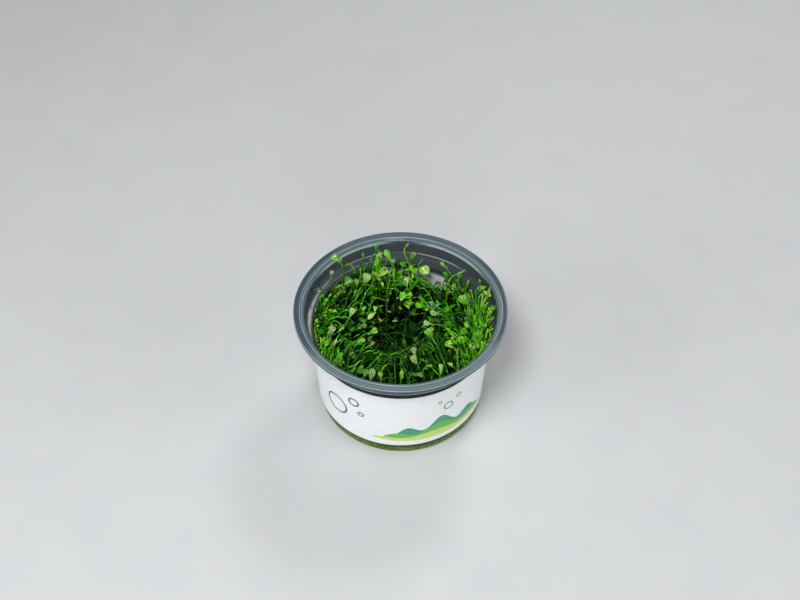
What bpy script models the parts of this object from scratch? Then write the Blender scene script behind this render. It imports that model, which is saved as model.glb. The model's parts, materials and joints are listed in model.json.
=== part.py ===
"""Water clover plantlets crowded into a clear culture cup with a printed wrap.

The cup stands on z = 0 with its axis on Z, and -Y is the side that the camera sees.
All sizes below are in millimetres. MM turns them into Blender's metres where a mesh is made.
"""

import math
from typing import NamedTuple

import bmesh
import bpy
from mathutils import Vector, noise
from mathutils.bvhtree import BVHTree

MM = 0.001
GAP = 0.3

# Cup
CUP_SIDES = 56
CUP_WALL = 0.8
CORNER = 0.3
CONE_FOOT_RADIUS = 39.55
CONE_FLARE = 0.0598
FOOT_RADIUS = 38.4
FOOT_RING_WIDTH = 3.4
FOOT_RING_SLOPE = 1.0
FOOT_RECESS = 0.9
FOOT_ROUND = 1.4
FLOOR_TOP = 1.7
FLOOR_FILLET = 0.7
SHOULDER_Z = 50.2
SHOULDER_RISE = 1.2
SHOULDER_LEDGE = 0.5
BAND_RADIUS = 45.6
BAND_FLARE = 0.4
RIM_RADIUS = 50.5
RIM_TOP = 60.0
RIM_THICK = 1.0
RIM_LIP_WIDTH = 0.7
RIM_LIP_DROP = 0.8
RIDGE_TOP = 60.4
RIDGE_INSET = 0.9
RIDGE_WIDTH = 0.6
RIDGE_SLOPE = 0.4
BEVEL_DROP = 1.0

# Printed wrap
LABEL_SIDES = 72
LABEL_BOTTOM = 6.7
LABEL_TOP = 45.0
LABEL_THICK = 0.25
LABEL_OVERLAP = math.radians(12)
LABEL_SEAM = math.radians(90)
LABEL_LAP_LIFT = 0.45

# Roots and foliage
ROOT_BOTTOM = FLOOR_TOP + GAP
ROOT_TOP = 8.5
ROOT_LUMP = 0.45
ROOT_LUMP_SIZE = 6
ROOT_RINGS = 7
ROOT_SIDE_GAP = 0.35
ROOT_CHAMFER = 0.9
FOLIAGE_BOTTOM = 9.4
FOLIAGE_LEVEL = 40.2
FRINGE_RISE = 2.6
FRINGE_FROM = 29
FRINGE_TO = 37
FOLIAGE_GAP = 0.35
FOLIAGE_RINGS = 15
TUFT_SIZE = 2.1
TUFT_RISE = 3.4
TUFT_LAYER = 7.3

# Banks and hollows of the foliage: centre x, centre y, radius, rise
FOLIAGE_BANKS = (
    (-4, 3, 26, -13.0),
    (-15, 30, 18, 3.5),
    (37, -6, 22, 4.0),
    (-34, 0, 18, 2.2),
    (20, 39, 14, -6.5),
)

# Stalks
FOOT_Z = 10.0
STALK_SIDES = 6
RING_SPACING = 4.5
LEAST_RINGS = 3
STEM_DIAMETER = 0.85
BLADE_THICK = 0.55
BLADE_CUP = 0.14
BLADE_TAPER = 0.5
LOBE_WAIST = 0.68
LOBE_STEP = 0.2
LOBE_EDGE = 0.94
BLADE_FACES = Vector((0, -0.35, 1))
BLADE_OUTLINE = ((0.3, 0.62), (0.6, 1.0), (0.86, 0.72), (1.0, 0.2))
EMERGE_STEP = 0.4
EMERGE_CLEAR = STEM_DIAMETER / 2 + GAP + 0.25
ABOVE_ALL = 200

BRIGHT = "6fbe3c"
LIME = "9ccb4a"
MID = "2f7d1c"
DARK = "14501a"
TEAL = "2f8a63"
PALE = "b4d09a"
GREY = "8c9a86"


class Stalk(NamedTuple):
    """A stem and its leaf.

    The route runs from the stem's foot to where the blade starts, and heading is the blade's way.
    """

    name: str
    route: tuple
    heading: tuple
    length: float
    width: float
    tone: str
    lobes: int = 1


STALKS = (
    Stalk(
        "back_fork", ((-26, 22, 10), (-28.4, 27.4, 48), (-28.6, 29, 54.5), (-29, 28.8, 60)),
        (-4, 2.8, 2.2), 5.5, 3.6, BRIGHT,
    ),
    Stalk(
        "back_fork_side", ((-27.3, 29, 56.6), (-26, 28.9, 59.4), (-24, 28.5, 59.2), (-22.4, 27.7, 56)),
        (1, -0.4, -3), 1.6, 0.9, LIME,
    ),
    Stalk(
        "back_tall", ((-14, 24, 10), (-16, 34, 52), (-12, 37.4, 60)),
        (1.6, 3.2, 3.2), 5.0, 4.2, TEAL,
    ),
    Stalk(
        "back_tall_second", ((-11, 25, 10), (-12.2, 34, 49), (-10.2, 35.6, 56)),
        (0.6, 1.2, 2.4), 3.4, 1.8, LIME,
    ),
    Stalk(
        "back_strap", ((-1, 27, 10), (-2.6, 32, 47), (-4, 34.2, 54)),
        (-4.2, 4, 7.5), 9.0, 3.4, PALE,
    ),
    Stalk(
        "back_small", ((-18, 25, 10), (-19.4, 33, 51), (-18.6, 35.6, 56.6)),
        (0.4, 1.6, 2), 3.2, 1.8, MID,
    ),
    Stalk(
        "back_curl", ((7, 28, 10), (5.6, 36.6, 46), (3, 36.9, 55), (2, 39, 60)),
        (2.4, 2, 2.8), 4.0, 1.0, LIME,
    ),
    Stalk(
        "back_curl_leaf", ((5, 26, 10), (6.6, 35.4, 50), (4.8, 35.2, 56)),
        (1.2, 1.8, 1.4), 4.2, 3.0, DARK,
    ),
    Stalk(
        "back_hook", ((11, 26, 10), (9, 31, 49), (9.2, 32.6, 56)),
        (2, 2, 1.6), 2.8, 1.2, LIME,
    ),
    Stalk(
        "back_spatula", ((-1, 30, 10), (-2.4, 33, 43), (1.4, 33.6, 49.4), (7.5, 33.6, 50.6)),
        (6, -0.4, 0.2), 6.8, 5.0, LIME,
    ),
    Stalk(
        "back_right_leaf", ((27, 22, 10), (25.6, 28.6, 50), (22.4, 31, 56)),
        (-3, 2, 2), 4.5, 2.6, BRIGHT,
    ),
    Stalk(
        "back_right_pointed", ((22, 20, 10), (23, 25, 46), (26, 27.4, 53)),
        (6, 1, 2.4), 6.6, 1.6, LIME,
    ),
    Stalk(
        "right_back_tip", ((33, 14, 10), (36.4, 16.6, 49), (38.2, 18.2, 56)),
        (-0.6, 0.8, 3.2), 4.0, 1.4, BRIGHT,
    ),
    Stalk(
        "right_wall_tip", ((34, 6, 10), (38.4, 8.4, 49), (41.2, 9.8, 57)),
        (0.5, 0.7, 3), 6.4, 1.6, LIME,
    ),
    Stalk(
        "right_wall_side", ((33, 11, 10), (36.4, 13, 50), (36.8, 14.6, 57.2)),
        (4, -0.3, 0.6), 4.4, 1.9, BRIGHT,
    ),
    Stalk(
        "back_left_pale", ((-30, 19, 10), (-33, 21.4, 48), (-33.6, 24, 56.4)),
        (0.3, 1.6, 1.2), 2.8, 2.4, PALE,
    ),
    Stalk(
        "left_dark", ((-33, 9, 10), (-36.4, 12, 49), (-37, 14.3, 57)),
        (-4, -0.3, 0.6), 4.4, 2.0, DARK,
    ),
    Stalk(
        "left_round", ((-29, 16, 10), (-28.6, 21, 43), (-27.2, 23.2, 49.6)),
        (2, 2, 1.2), 5.0, 4.8, MID,
    ),
    Stalk(
        "back_round", ((-20, 22, 10), (-19, 25.4, 43), (-17.8, 26, 49)),
        (2, 2.6, 1.6), 4.6, 4.4, MID,
    ),
    Stalk(
        "back_broad", ((-15, 20, 10), (-14.2, 26, 44), (-12.3, 28.6, 50.4)),
        (5.5, 4.1, 2.5), 7.0, 4.4, LIME,
    ),
    Stalk(
        "back_two_lobed", ((-7, 22, 10), (-6.4, 26.6, 41), (-5.4, 28.8, 47)),
        (1, 1.4, 1.4), 5.2, 5.2, LIME, 2,
    ),
    Stalk(
        "middle_cupped", ((4, 24, 10), (4, 26.4, 40), (3, 26, 46.4)),
        (-1.6, 2.6, 1.4), 4.2, 3.6, PALE,
    ),
    Stalk(
        "left_pale", ((-32, -2, 10), (-29, 2, 40), (-25, 5, 46)),
        (3, 4.6, 1.4), 6.0, 4.0, PALE,
    ),
    Stalk(
        "left_grey", ((-35, -7, 10), (-35.4, -7.6, 42), (-33.8, -7.2, 48.6)),
        (2.6, 2, 0.8), 4.4, 4.4, GREY,
    ),
    Stalk(
        "middle_spoon", ((-31, -15, 10), (-27, -12.5, 38), (-21.4, -8.4, 44.6), (-16, -4.5, 46.6)),
        (4.6, 1.2, 0.3), 5.0, 3.6, BRIGHT,
    ),
    Stalk(
        "left_small", ((-31, 3, 10), (-25, 2.4, 38), (-20, 1.6, 43.6)),
        (3.4, 1.2, 0.6), 3.8, 2.8, MID,
    ),
    Stalk(
        "front_left_broad", ((-33, -17, 10), (-32.6, -18.8, 40), (-31.4, -19.4, 45.6)),
        (5, -2.4, 1), 6.4, 4.2, LIME,
    ),
    Stalk(
        "front_left_curl", ((-24, -23, 10), (-23.6, -25.4, 40), (-21.8, -26.2, 45.8), (-19, -26.6, 47.4)),
        (2.4, -1.2, -1), 4.4, 3.4, BRIGHT,
    ),
    Stalk(
        "front_pale_round", ((-14, -26, 10), (-14.6, -29.6, 38), (-14, -30.4, 43.6)),
        (1, 1.6, 4), 5.2, 3.8, PALE,
    ),
    Stalk(
        "front_pale_small", ((-8, -27, 10), (-9.2, -30.6, 38), (-9.2, -31, 43.6)),
        (0.2, 1.4, 4), 4.0, 2.8, PALE,
    ),
    Stalk(
        "front_pointed", ((0, -26, 10), (0, -28.6, 38), (0.2, -29.4, 43.6)),
        (0.2, 0.8, 3), 4.0, 2.2, MID,
    ),
    Stalk(
        "front_ribbon", ((3, -27, 10), (3.4, -31, 40), (4, -30.6, 45.4), (6, -29.4, 47.2)),
        (3, -0.4, -0.4), 4.6, 2.4, BRIGHT,
    ),
    Stalk(
        "front_t_top", ((11, -28, 10), (11.4, -29.4, 40), (11.6, -27, 48.6)),
        (2.6, 0.4, 1), 3.2, 1.8, BRIGHT,
    ),
    Stalk(
        "front_right_hook", ((27, -25, 10), (25.8, -28, 42), (26.4, -24.4, 49.6), (25, -19, 52.8)),
        (-2.6, 3, -1.4), 4.6, 1.1, LIME,
    ),
    Stalk(
        "front_pale_large", ((10, -25, 10), (9.8, -24.6, 38), (8.4, -22.8, 43.8)),
        (-3, 3.2, 2), 6.0, 3.8, PALE,
    ),
    Stalk(
        "middle_four_lobed", ((24, 20, 10), (20, 17, 38), (15.6, 14, 45)),
        (0, 0.3, 1), 6.4, 6.4, TEAL, 4,
    ),
    Stalk(
        "middle_spatula", ((31, -1, 10), (26, 0, 38), (20.4, 1.6, 45), (15.8, 1.4, 46.4)),
        (-4.4, -0.6, 0.2), 5.0, 3.4, PALE,
    ),
    Stalk(
        "middle_pale", ((32, 6, 10), (26, 6.6, 40), (21.6, 6.8, 46.4), (18.6, 6.4, 48.2)),
        (-3.6, -0.4, 0.4), 4.6, 3.8, PALE,
    ),
    Stalk(
        "middle_veined", ((24, -23, 10), (21, -17, 38), (17.6, -11, 44), (14.6, -6.8, 46.6)),
        (-2.4, 3, 0.6), 4.4, 4.2, BRIGHT,
    ),
    Stalk(
        "middle_faded", ((10, -20, 10), (8.4, -17.4, 36), (6.6, -14.6, 42.6)),
        (-1.4, 2.2, 1.2), 3.6, 3.4, GREY,
    ),
    Stalk(
        "right_round", ((32, 6.5, 10), (33.6, 10, 44), (31.6, 11.6, 49.4)),
        (-2.6, 2.4, 1.4), 5.0, 4.6, BRIGHT,
    ),
    Stalk(
        "right_cupped", ((33, -2, 10), (33.6, 0.6, 43), (32, 2.4, 48)),
        (-1, 2, 3), 5.0, 2.8, MID,
    ),
)

# Upright stalks along the wall: name, count, first and last bearing in degrees,
# foot radius, neck radius, neck height
WALL_BANKS = (
    ("right_wall", 6, -36, 2, 34, 39.6, 54.0),
    ("left_wall", 3, 198, 206, 34, 36.2, 48.0),
)
WALL_STALK_LEAN = 7.0
WALL_STALK_VARY = 2.2
WALL_STALK_TURN = 2.4
WALL_STALK_BEND = 1.4
WALL_BLADE = (5.2, 1.7)
WALL_BLADE_LEAN = 0.2


def principled(name, tone, roughness, alpha=1.0):
    """A plain material with the piece's own colour, from a hex code."""
    made = bpy.data.materials.new(name)
    made.use_nodes = True
    shader = made.node_tree.nodes["Principled BSDF"]
    shades = [int(tone[i : i + 2], 16) / 255 for i in (0, 2, 4)]
    linear = [c / 12.92 if c <= 0.04045 else ((c + 0.055) / 1.055) ** 2.4 for c in shades]
    shader.inputs["Base Color"].default_value = (*linear, 1)
    shader.inputs["Roughness"].default_value = roughness
    shader.inputs["Metallic"].default_value = 0
    shader.inputs["Alpha"].default_value = alpha
    return made


def finish(name, bm, material, sharp_degrees=40):
    """Turns a bmesh in millimetres into a scene object with its faces pointing outwards."""
    bmesh.ops.recalc_face_normals(bm, faces=bm.faces)
    bmesh.ops.scale(bm, vec=(MM, MM, MM), verts=bm.verts)
    mesh = bpy.data.meshes.new(name)
    bm.to_mesh(mesh)
    bm.free()
    mesh.materials.append(material)
    mesh.shade_smooth()
    mesh.set_sharp_from_angle(angle=math.radians(sharp_degrees))
    made = bpy.data.objects.new(name, mesh)
    bpy.context.scene.collection.objects.link(made)
    return made


def loft(bm, rings):
    """Skins closed rings of equal count one to the next, and caps both ends."""
    loops = [[bm.verts.new(point) for point in ring] for ring in rings]
    for lower, upper in zip(loops, loops[1:]):
        for i in range(len(lower)):
            j = (i + 1) % len(lower)
            bm.faces.new((lower[i], lower[j], upper[j], upper[i]))
    bm.faces.new(loops[0][::-1])
    bm.faces.new(loops[-1])


def wall_outer(z):
    return CONE_FOOT_RADIUS + CONE_FLARE * z


def wall_inner(z):
    return wall_outer(z) - CUP_WALL


def cup_profile():
    """The cup's section as (radius, height), from under its floor up the outside and down the inside."""
    band_top = RIM_TOP - RIM_THICK
    lip_bottom = band_top - RIM_LIP_DROP
    ring_inner = FOOT_RADIUS - FOOT_RING_WIDTH
    ridge_inner = BAND_RADIUS + RIDGE_INSET
    ridge_outer = ridge_inner + RIDGE_WIDTH
    band_inner = BAND_RADIUS - CUP_WALL
    outside = [
        (0, FOOT_RECESS),
        (ring_inner - FOOT_RING_SLOPE, FOOT_RECESS),
        (ring_inner, 0),
        (FOOT_RADIUS, 0),
        (wall_outer(0) - CORNER, FOOT_ROUND / 3),
        (wall_outer(FOOT_ROUND), FOOT_ROUND),
        (wall_outer(SHOULDER_Z), SHOULDER_Z),
        (BAND_RADIUS - CORNER, SHOULDER_Z + SHOULDER_RISE / 2),
        (BAND_RADIUS, SHOULDER_Z + SHOULDER_RISE),
        (BAND_RADIUS + BAND_FLARE, band_top),
    ]
    rim = [
        (RIM_RADIUS - RIM_LIP_WIDTH - CORNER / 2, band_top),
        (RIM_RADIUS - RIM_LIP_WIDTH, lip_bottom),
        (RIM_RADIUS - CORNER / 2, lip_bottom),
        (RIM_RADIUS, lip_bottom + CORNER),
        (RIM_RADIUS, RIM_TOP - CORNER),
        (RIM_RADIUS - CORNER, RIM_TOP),
        (ridge_outer + RIDGE_SLOPE, RIM_TOP),
        (ridge_outer, RIDGE_TOP),
        (ridge_inner, RIDGE_TOP),
    ]
    inside = [
        (BAND_RADIUS, RIM_TOP - BEVEL_DROP),
        (BAND_RADIUS - BAND_FLARE, RIM_TOP - BEVEL_DROP - CUP_WALL),
        (band_inner, SHOULDER_Z + 2 * CUP_WALL),
        (band_inner - SHOULDER_LEDGE, SHOULDER_Z + SHOULDER_RISE),
        (wall_inner(SHOULDER_Z), SHOULDER_Z + CORNER),
        (wall_inner(FLOOR_TOP + FLOOR_FILLET), FLOOR_TOP + FLOOR_FILLET),
        (wall_inner(FLOOR_TOP) - FLOOR_FILLET, FLOOR_TOP),
        (0, FLOOR_TOP),
    ]
    return outside + rim + inside


def build_cup():
    """One turned shell, closed at the axis."""
    bm = bmesh.new()
    profile = [bm.verts.new((radius, 0, height)) for radius, height in cup_profile()]
    edges = [bm.edges.new(pair) for pair in zip(profile, profile[1:])]
    bmesh.ops.spin(
        bm, geom=profile + edges, axis=(0, 0, 1), cent=(0, 0, 0),
        angle=math.tau, steps=CUP_SIDES, use_merge=True,
    )
    bmesh.ops.remove_doubles(bm, verts=bm.verts, dist=1e-4)
    finish("cup", bm, principled("moulded clear plastic", "c9d6da", 0.12, 0.35), 50)


def label_lift(turn):
    """How far the strip stands off its own first end, which its last stretch laps over."""
    whole = math.tau + LABEL_OVERLAP
    ramp_start = whole - 2 * LABEL_OVERLAP
    return LABEL_LAP_LIFT * min(1, max(0, (turn - ramp_start) / LABEL_OVERLAP))


def build_label():
    """One strip wound round the tapering wall, its ends lapped at the back."""
    whole = math.tau + LABEL_OVERLAP
    section = [(LABEL_BOTTOM, 0), (LABEL_BOTTOM, LABEL_THICK), (LABEL_TOP, LABEL_THICK), (LABEL_TOP, 0)]
    rings = []
    for step in range(LABEL_SIDES + 1):
        turn = whole * step / LABEL_SIDES
        bearing = LABEL_SEAM - LABEL_OVERLAP / 2 + turn
        across = Vector((math.cos(bearing), math.sin(bearing), 0))
        ring = []
        for height, depth in section:
            radius = wall_outer(height) + GAP + depth + label_lift(turn)
            ring.append(across * radius + Vector((0, 0, height)))
        rings.append(ring)
    bm = bmesh.new()
    loft(bm, rings)
    finish("label", bm, principled("coated label film", "f1f4f7", 0.35))


def build_mound(name, rings, feet, height_at, material):
    """A solid with a flat underside, a sloping side and a lumpy top, whose triangles are all of one size.

    Ring k of the top has 6 k points. feet lists the radius and height of the rings under its edge.
    """
    bm = bmesh.new()
    sides = 6 * rings
    middle = bm.verts.new((0, 0, height_at(0, 0)))
    tops = [[middle]]
    for k in range(1, rings + 1):
        loop = []
        for i in range(6 * k):
            spot = polar(wall_inner(FOLIAGE_LEVEL) * k / rings, i / (6 * k), 0)
            top = height_at(spot.x, spot.y)
            loop.append(bm.verts.new(polar((wall_inner(top) - FOLIAGE_GAP) * k / rings, i / (6 * k), top)))
        tops.append(loop)
    for k in range(rings):
        inner, outer = tops[k], tops[k + 1]
        for sector in range(6):
            for j in range(k + 1):
                near = inner[(sector * k + j) % len(inner)]
                left, right = (outer[(sector * (k + 1) + j + step) % len(outer)] for step in (0, 1))
                bm.faces.new((near, left, right))
                if j < k:
                    bm.faces.new((near, right, inner[(sector * k + j + 1) % len(inner)]))
    edges = [tops[-1]]
    for radius, height in feet:
        edges.append([bm.verts.new(polar(radius, i / sides, height)) for i in range(sides)])
    for upper, lower in zip(edges, edges[1:]):
        for i in range(sides):
            j = (i + 1) % sides
            bm.faces.new((upper[i], lower[i], lower[j], upper[j]))
    bm.faces.new(edges[-1][::-1])
    bmesh.ops.triangulate(bm, faces=bm.faces)
    return finish(name, bm, material, 25)


def polar(radius, turn, height):
    return Vector((radius * math.cos(turn * math.tau), radius * math.sin(turn * math.tau), height))


def root_height(x, y):
    return ROOT_TOP + ROOT_LUMP * noise.noise(Vector((x, y, 0)) / ROOT_LUMP_SIZE)


def foliage_height(x, y):
    """The top of the crowd of leaves: a fringe along the wall, banks, hollows, and tufts the size of a leaf."""
    share = min(1, max(0, (math.hypot(x, y) - FRINGE_FROM) / (FRINGE_TO - FRINGE_FROM)))
    height = FOLIAGE_LEVEL + FRINGE_RISE * (1 - math.cos(math.pi * share)) / 2
    for centre_x, centre_y, radius, rise in FOLIAGE_BANKS:
        away = min(1, math.hypot(x - centre_x, y - centre_y) / radius)
        height += rise * (1 + math.cos(math.pi * away)) / 2
    return height + TUFT_RISE * noise.noise(Vector((x, y, TUFT_LAYER)) / TUFT_SIZE)


def build_roots():
    edge = wall_inner(FLOOR_TOP) - ROOT_SIDE_GAP
    feet = ((edge, ROOT_BOTTOM + ROOT_CHAMFER), (edge - ROOT_CHAMFER, ROOT_BOTTOM))
    gel = principled("roots in nutrient gel", "35502a", 0.3)
    build_mound("root_mat", ROOT_RINGS, feet, root_height, gel)


def build_foliage():
    feet = ((wall_inner(FOLIAGE_BOTTOM) - FOLIAGE_GAP, FOLIAGE_BOTTOM),)
    leafy = principled("crowded leaves", "2c7a1d", 0.35)
    return build_mound("foliage", FOLIAGE_RINGS, feet, foliage_height, leafy)


def smooth_line(route, heading):
    """A curve through the route, and its length. It leaves the foot upright and ends along heading."""
    points = [Vector(point) for point in route]
    places = [0.0]
    for before, after in zip(points, points[1:]):
        places.append(places[-1] + (after - before).length)
    first = Vector((0, 0, 1)) if points[0].z <= FOOT_Z else (points[1] - points[0]).normalized()
    slopes = [first]
    for i in range(1, len(points) - 1):
        slopes.append((points[i + 1] - points[i - 1]) / (places[i + 1] - places[i - 1]))
    slopes.append(heading)

    def at(place):
        i = 0
        while i < len(points) - 2 and place > places[i + 1]:
            i += 1
        span = places[i + 1] - places[i]
        t = (place - places[i]) / span
        return (
            points[i] * (2 * t**3 - 3 * t**2 + 1)
            + slopes[i] * span * (t**3 - 2 * t**2 + t)
            + points[i + 1] * (3 * t**2 - 2 * t**3)
            + slopes[i + 1] * span * (t**3 - t**2)
        )

    return at, places[-1]


def emerges_at(line, length, foliage):
    """The place along the line from which it runs clear of the foliage up to its end."""
    place = length
    while place - EMERGE_STEP > 0:
        spot = line(place - EMERGE_STEP)
        nearest = foliage.find_nearest(spot)[3]
        under = foliage.ray_cast(Vector((spot.x, spot.y, ABOVE_ALL)), Vector((0, 0, -1)))[0]
        if nearest < EMERGE_CLEAR or (under and under.z > spot.z):
            break
        place -= EMERGE_STEP
    return place


def square_to(normal, direction):
    return (normal - direction * normal.dot(direction)).normalized()


def stem_rings(line, start, length, normal, heading, sides):
    """Round sections from where the stem starts to its neck, turned with the blade's face."""
    rings = []
    spans = max(LEAST_RINGS, round((length - start) / RING_SPACING) + 1) - 1
    for k in range(spans, -1, -1):
        place = start + (length - start) * k / spans
        direction = (line(min(length, place + 0.2)) - line(max(0, place - 0.2))).normalized()
        if k == spans:
            direction = heading
        normal = square_to(normal, direction)
        side = direction.cross(normal)
        ring = []
        for i in range(sides):
            turn = math.pi - i * math.tau / sides
            ring.append(line(place) + (side * math.cos(turn) + normal * math.sin(turn)) * STEM_DIAMETER / 2)
        rings.insert(0, ring)
    return rings


def blade_rings(neck, heading, normal, length, width):
    """Cupped sections of a spoon-shaped blade, each from its left edge over the top and back underneath."""
    side = heading.cross(normal)
    rings = []
    for along, share in BLADE_OUTLINE:
        half = width * share / 2
        edge = BLADE_CUP * 2 * half
        thick = BLADE_THICK / 2 * (1 - BLADE_TAPER * along)
        centre = neck + heading * length * along
        rings.append([
            centre + side * across + normal * up
            for across, up in (
                (-half, edge), (-half / 2, edge / 3 + thick), (half / 2, edge / 3 + thick),
                (half, edge), (half / 2, edge / 3 - thick), (-half / 2, edge / 3 - thick),
            )
        ])
    return rings


def lobed_rings(neck, heading, normal, radius, lobes):
    """A blade set square on its stem, whose outline rises to each lobe and falls between them."""
    side = heading.cross(normal)
    rings = []
    for up, share in ((LOBE_STEP, 1.0), (LOBE_STEP + BLADE_THICK, LOBE_EDGE)):
        ring = []
        for i in range(2 * STALK_SIDES):
            turn = math.pi - i * math.tau / (2 * STALK_SIDES)
            reach = radius * share * (LOBE_WAIST + (1 - LOBE_WAIST) * math.cos(lobes * turn))
            ring.append(neck + heading * up + (side * math.cos(turn) + normal * math.sin(turn)) * reach)
        rings.append(ring)
    return rings


def build_stalk(stalk, foliage):
    """One grown piece: the stem's free length and its leaf, lofted in one."""
    heading = Vector(stalk.heading).normalized()
    line, length = smooth_line(stalk.route, heading)
    free_start = stalk.route[0][2] > FOOT_Z
    start = 0.0 if free_start else emerges_at(line, length, foliage)
    neck = line(length)
    normal = square_to(BLADE_FACES, heading)
    if stalk.lobes > 1:
        rings = stem_rings(line, start, length, normal, heading, 2 * STALK_SIDES)
        rings += lobed_rings(neck, heading, normal, stalk.width / 2, stalk.lobes)
    else:
        rings = stem_rings(line, start, length, normal, heading, STALK_SIDES)
        rings += blade_rings(neck, heading, normal, stalk.length, stalk.width)
    bm = bmesh.new()
    loft(bm, rings)
    name = f"stalk_{stalk.name}"
    finish(name, bm, principled(f"{name} leaf", stalk.tone, 0.3), 60)


def wall_stalks():
    """Upright stalks spaced along a stretch of the wall, each a little taller or shorter than the last."""
    for bank, count, first, last, foot_radius, neck_radius, neck_height in WALL_BANKS:
        for i in range(count):
            bearing = math.radians(first + (last - first) * i / (count - 1))
            vary = WALL_STALK_VARY * math.sin(WALL_STALK_TURN * i + first)
            outward = Vector((math.cos(bearing), math.sin(bearing), 0))
            along = Vector((-math.sin(bearing), math.cos(bearing), 0)) * vary / 3
            foot = outward * foot_radius + Vector((0, 0, FOOT_Z))
            bend = Vector((0, 0, neck_height - WALL_STALK_LEAN))
            middle = outward * (neck_radius - WALL_STALK_BEND) + along + bend
            neck = outward * neck_radius + along + Vector((0, 0, neck_height + vary))
            heading = along / 4 - outward * WALL_BLADE_LEAN + Vector((0, 0, 1))
            length, width = WALL_BLADE
            tone = BRIGHT if i % 2 else LIME
            route = (tuple(foot), tuple(middle), tuple(neck))
            yield Stalk(f"{bank}_{i + 1}", route, tuple(heading), length, width, tone)


def main():
    for old in list(bpy.data.objects):
        bpy.data.objects.remove(old)
    build_cup()
    build_label()
    build_roots()
    crowd = build_foliage()
    points = [vertex.co / MM for vertex in crowd.data.vertices]
    faces = [tuple(face.vertices) for face in crowd.data.polygons]
    tree = BVHTree.FromPolygons(points, faces)
    for stalk in (*STALKS, *wall_stalks()):
        build_stalk(stalk, tree)


main()
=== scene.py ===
"""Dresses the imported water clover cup: the cup, its wrap, the roots, the crowd of leaves and single stalks.

Sizes are in millimetres, and MM turns them into metres where a mesh is made.
"""

import json
import logging
import math
import random
from dataclasses import dataclass, replace
from enum import Enum
from typing import Any, Callable, Iterator, NamedTuple, Optional, Sequence

import bmesh
import bpy
from bpy.types import Material, Mesh, Node, NodeSocket, NodeTree, Object
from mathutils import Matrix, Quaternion, Vector, noise
from mathutils.bvhtree import BVHTree

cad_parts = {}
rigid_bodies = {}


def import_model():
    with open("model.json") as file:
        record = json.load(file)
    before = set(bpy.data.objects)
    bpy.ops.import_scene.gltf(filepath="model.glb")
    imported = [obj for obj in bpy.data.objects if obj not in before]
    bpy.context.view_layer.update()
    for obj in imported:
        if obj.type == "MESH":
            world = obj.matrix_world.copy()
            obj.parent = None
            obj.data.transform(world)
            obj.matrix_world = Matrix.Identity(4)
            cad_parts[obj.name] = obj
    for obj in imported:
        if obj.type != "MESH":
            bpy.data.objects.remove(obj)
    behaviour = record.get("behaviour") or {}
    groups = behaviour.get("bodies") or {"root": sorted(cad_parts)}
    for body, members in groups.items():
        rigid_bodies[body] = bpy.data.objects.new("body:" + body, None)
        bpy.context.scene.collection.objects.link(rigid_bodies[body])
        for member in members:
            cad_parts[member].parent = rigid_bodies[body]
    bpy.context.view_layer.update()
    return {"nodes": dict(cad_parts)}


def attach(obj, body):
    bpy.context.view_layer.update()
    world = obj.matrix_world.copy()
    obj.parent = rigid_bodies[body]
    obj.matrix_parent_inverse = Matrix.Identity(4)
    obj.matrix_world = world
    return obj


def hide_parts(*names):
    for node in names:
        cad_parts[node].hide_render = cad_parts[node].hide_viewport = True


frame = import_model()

MM = 0.001
FRONT = math.radians(-90)
UP = Vector((0, 0, 1))
LOG = logging.getLogger("water_clover")

Span = tuple[float, float]
Triple = tuple[float, float, float]
Stops = tuple[tuple[float, str], ...]
Ring = list[Vector]
Numbers = dict[str, list[list[float]]]


def linear(code: str) -> tuple[float, float, float, float]:
    """Turns an sRGB hex colour into Blender's linear one.

    Args:
        code: Six hex digits.

    Returns:
        Red, green, blue and an alpha of one.
    """
    shades = [int(code[i : i + 2], 16) / 255 for i in (0, 2, 4)]
    red, green, blue = (c / 12.92 if c <= 0.04045 else ((c + 0.055) / 1.055) ** 2.4 for c in shades)
    return red, green, blue, 1.0


def feed(tree: NodeTree, node: Node, inputs: dict[Any, Any]) -> None:
    """Sets or links a node's inputs.

    Args:
        tree: The node's tree.
        node: The node.
        inputs: By name or number, a value, a socket, or another node, whose first live output is meant.
    """
    for key, value in inputs.items():
        if isinstance(value, Node):
            value = next(socket for socket in value.outputs if socket.enabled)
        if isinstance(value, NodeSocket):
            tree.links.new(value, node.inputs[key])
        else:
            node.inputs[key].default_value = value


def add_node(tree: NodeTree, kind: str, inputs: Optional[dict[Any, Any]] = None, **settings: Any) -> Node:
    """Adds one node with its settings and links.

    Args:
        tree: The shader tree or geometry tree that gets it.
        kind: Blender's name for the type of node.
        inputs: What its inputs get, as feed takes it.
        **settings: Its properties, and "stops" for the places and colours of a Color Ramp.

    Returns:
        The new node.
    """
    node = tree.nodes.new(kind)
    stops = settings.pop("stops", ())
    while stops and len(node.color_ramp.elements) < len(stops):
        node.color_ramp.elements.new(1.0)
    for number, (place, code) in enumerate(stops):
        node.color_ramp.elements[number].position = place
        node.color_ramp.elements[number].color = linear(code)
    for name, value in settings.items():
        setattr(node, name, value)
    feed(tree, node, inputs or {})
    return node


def polar(radius: float, bearing: float, height: float) -> Vector:
    """A point at a distance from the cup's axis, a bearing in radians and a height."""
    return Vector((radius * math.cos(bearing), radius * math.sin(bearing), height))


def eased(start: float, end: float, value: float) -> float:
    """A smooth step from 0 at start to 1 at end."""
    share = min(1.0, max(0.0, (value - start) / (end - start)))
    return share * share * (3 - 2 * share)


def flowing(start: Any, leave: Any, end: Any, arrive: Any, t: float) -> Any:
    """A smooth way between two points or numbers, with a slope at each end, as t goes from 0 to 1."""
    way = start * (2 * t**3 - 3 * t**2 + 1) + leave * (t**3 - 2 * t**2 + t)
    return way + end * (3 * t**2 - 2 * t**3) + arrive * (t**3 - t**2)


def square_to(normal: Vector, direction: Vector) -> Vector:
    """The part of a normal that is square to a direction, made one long."""
    return (normal - direction * normal.dot(direction)).normalized()


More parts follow.
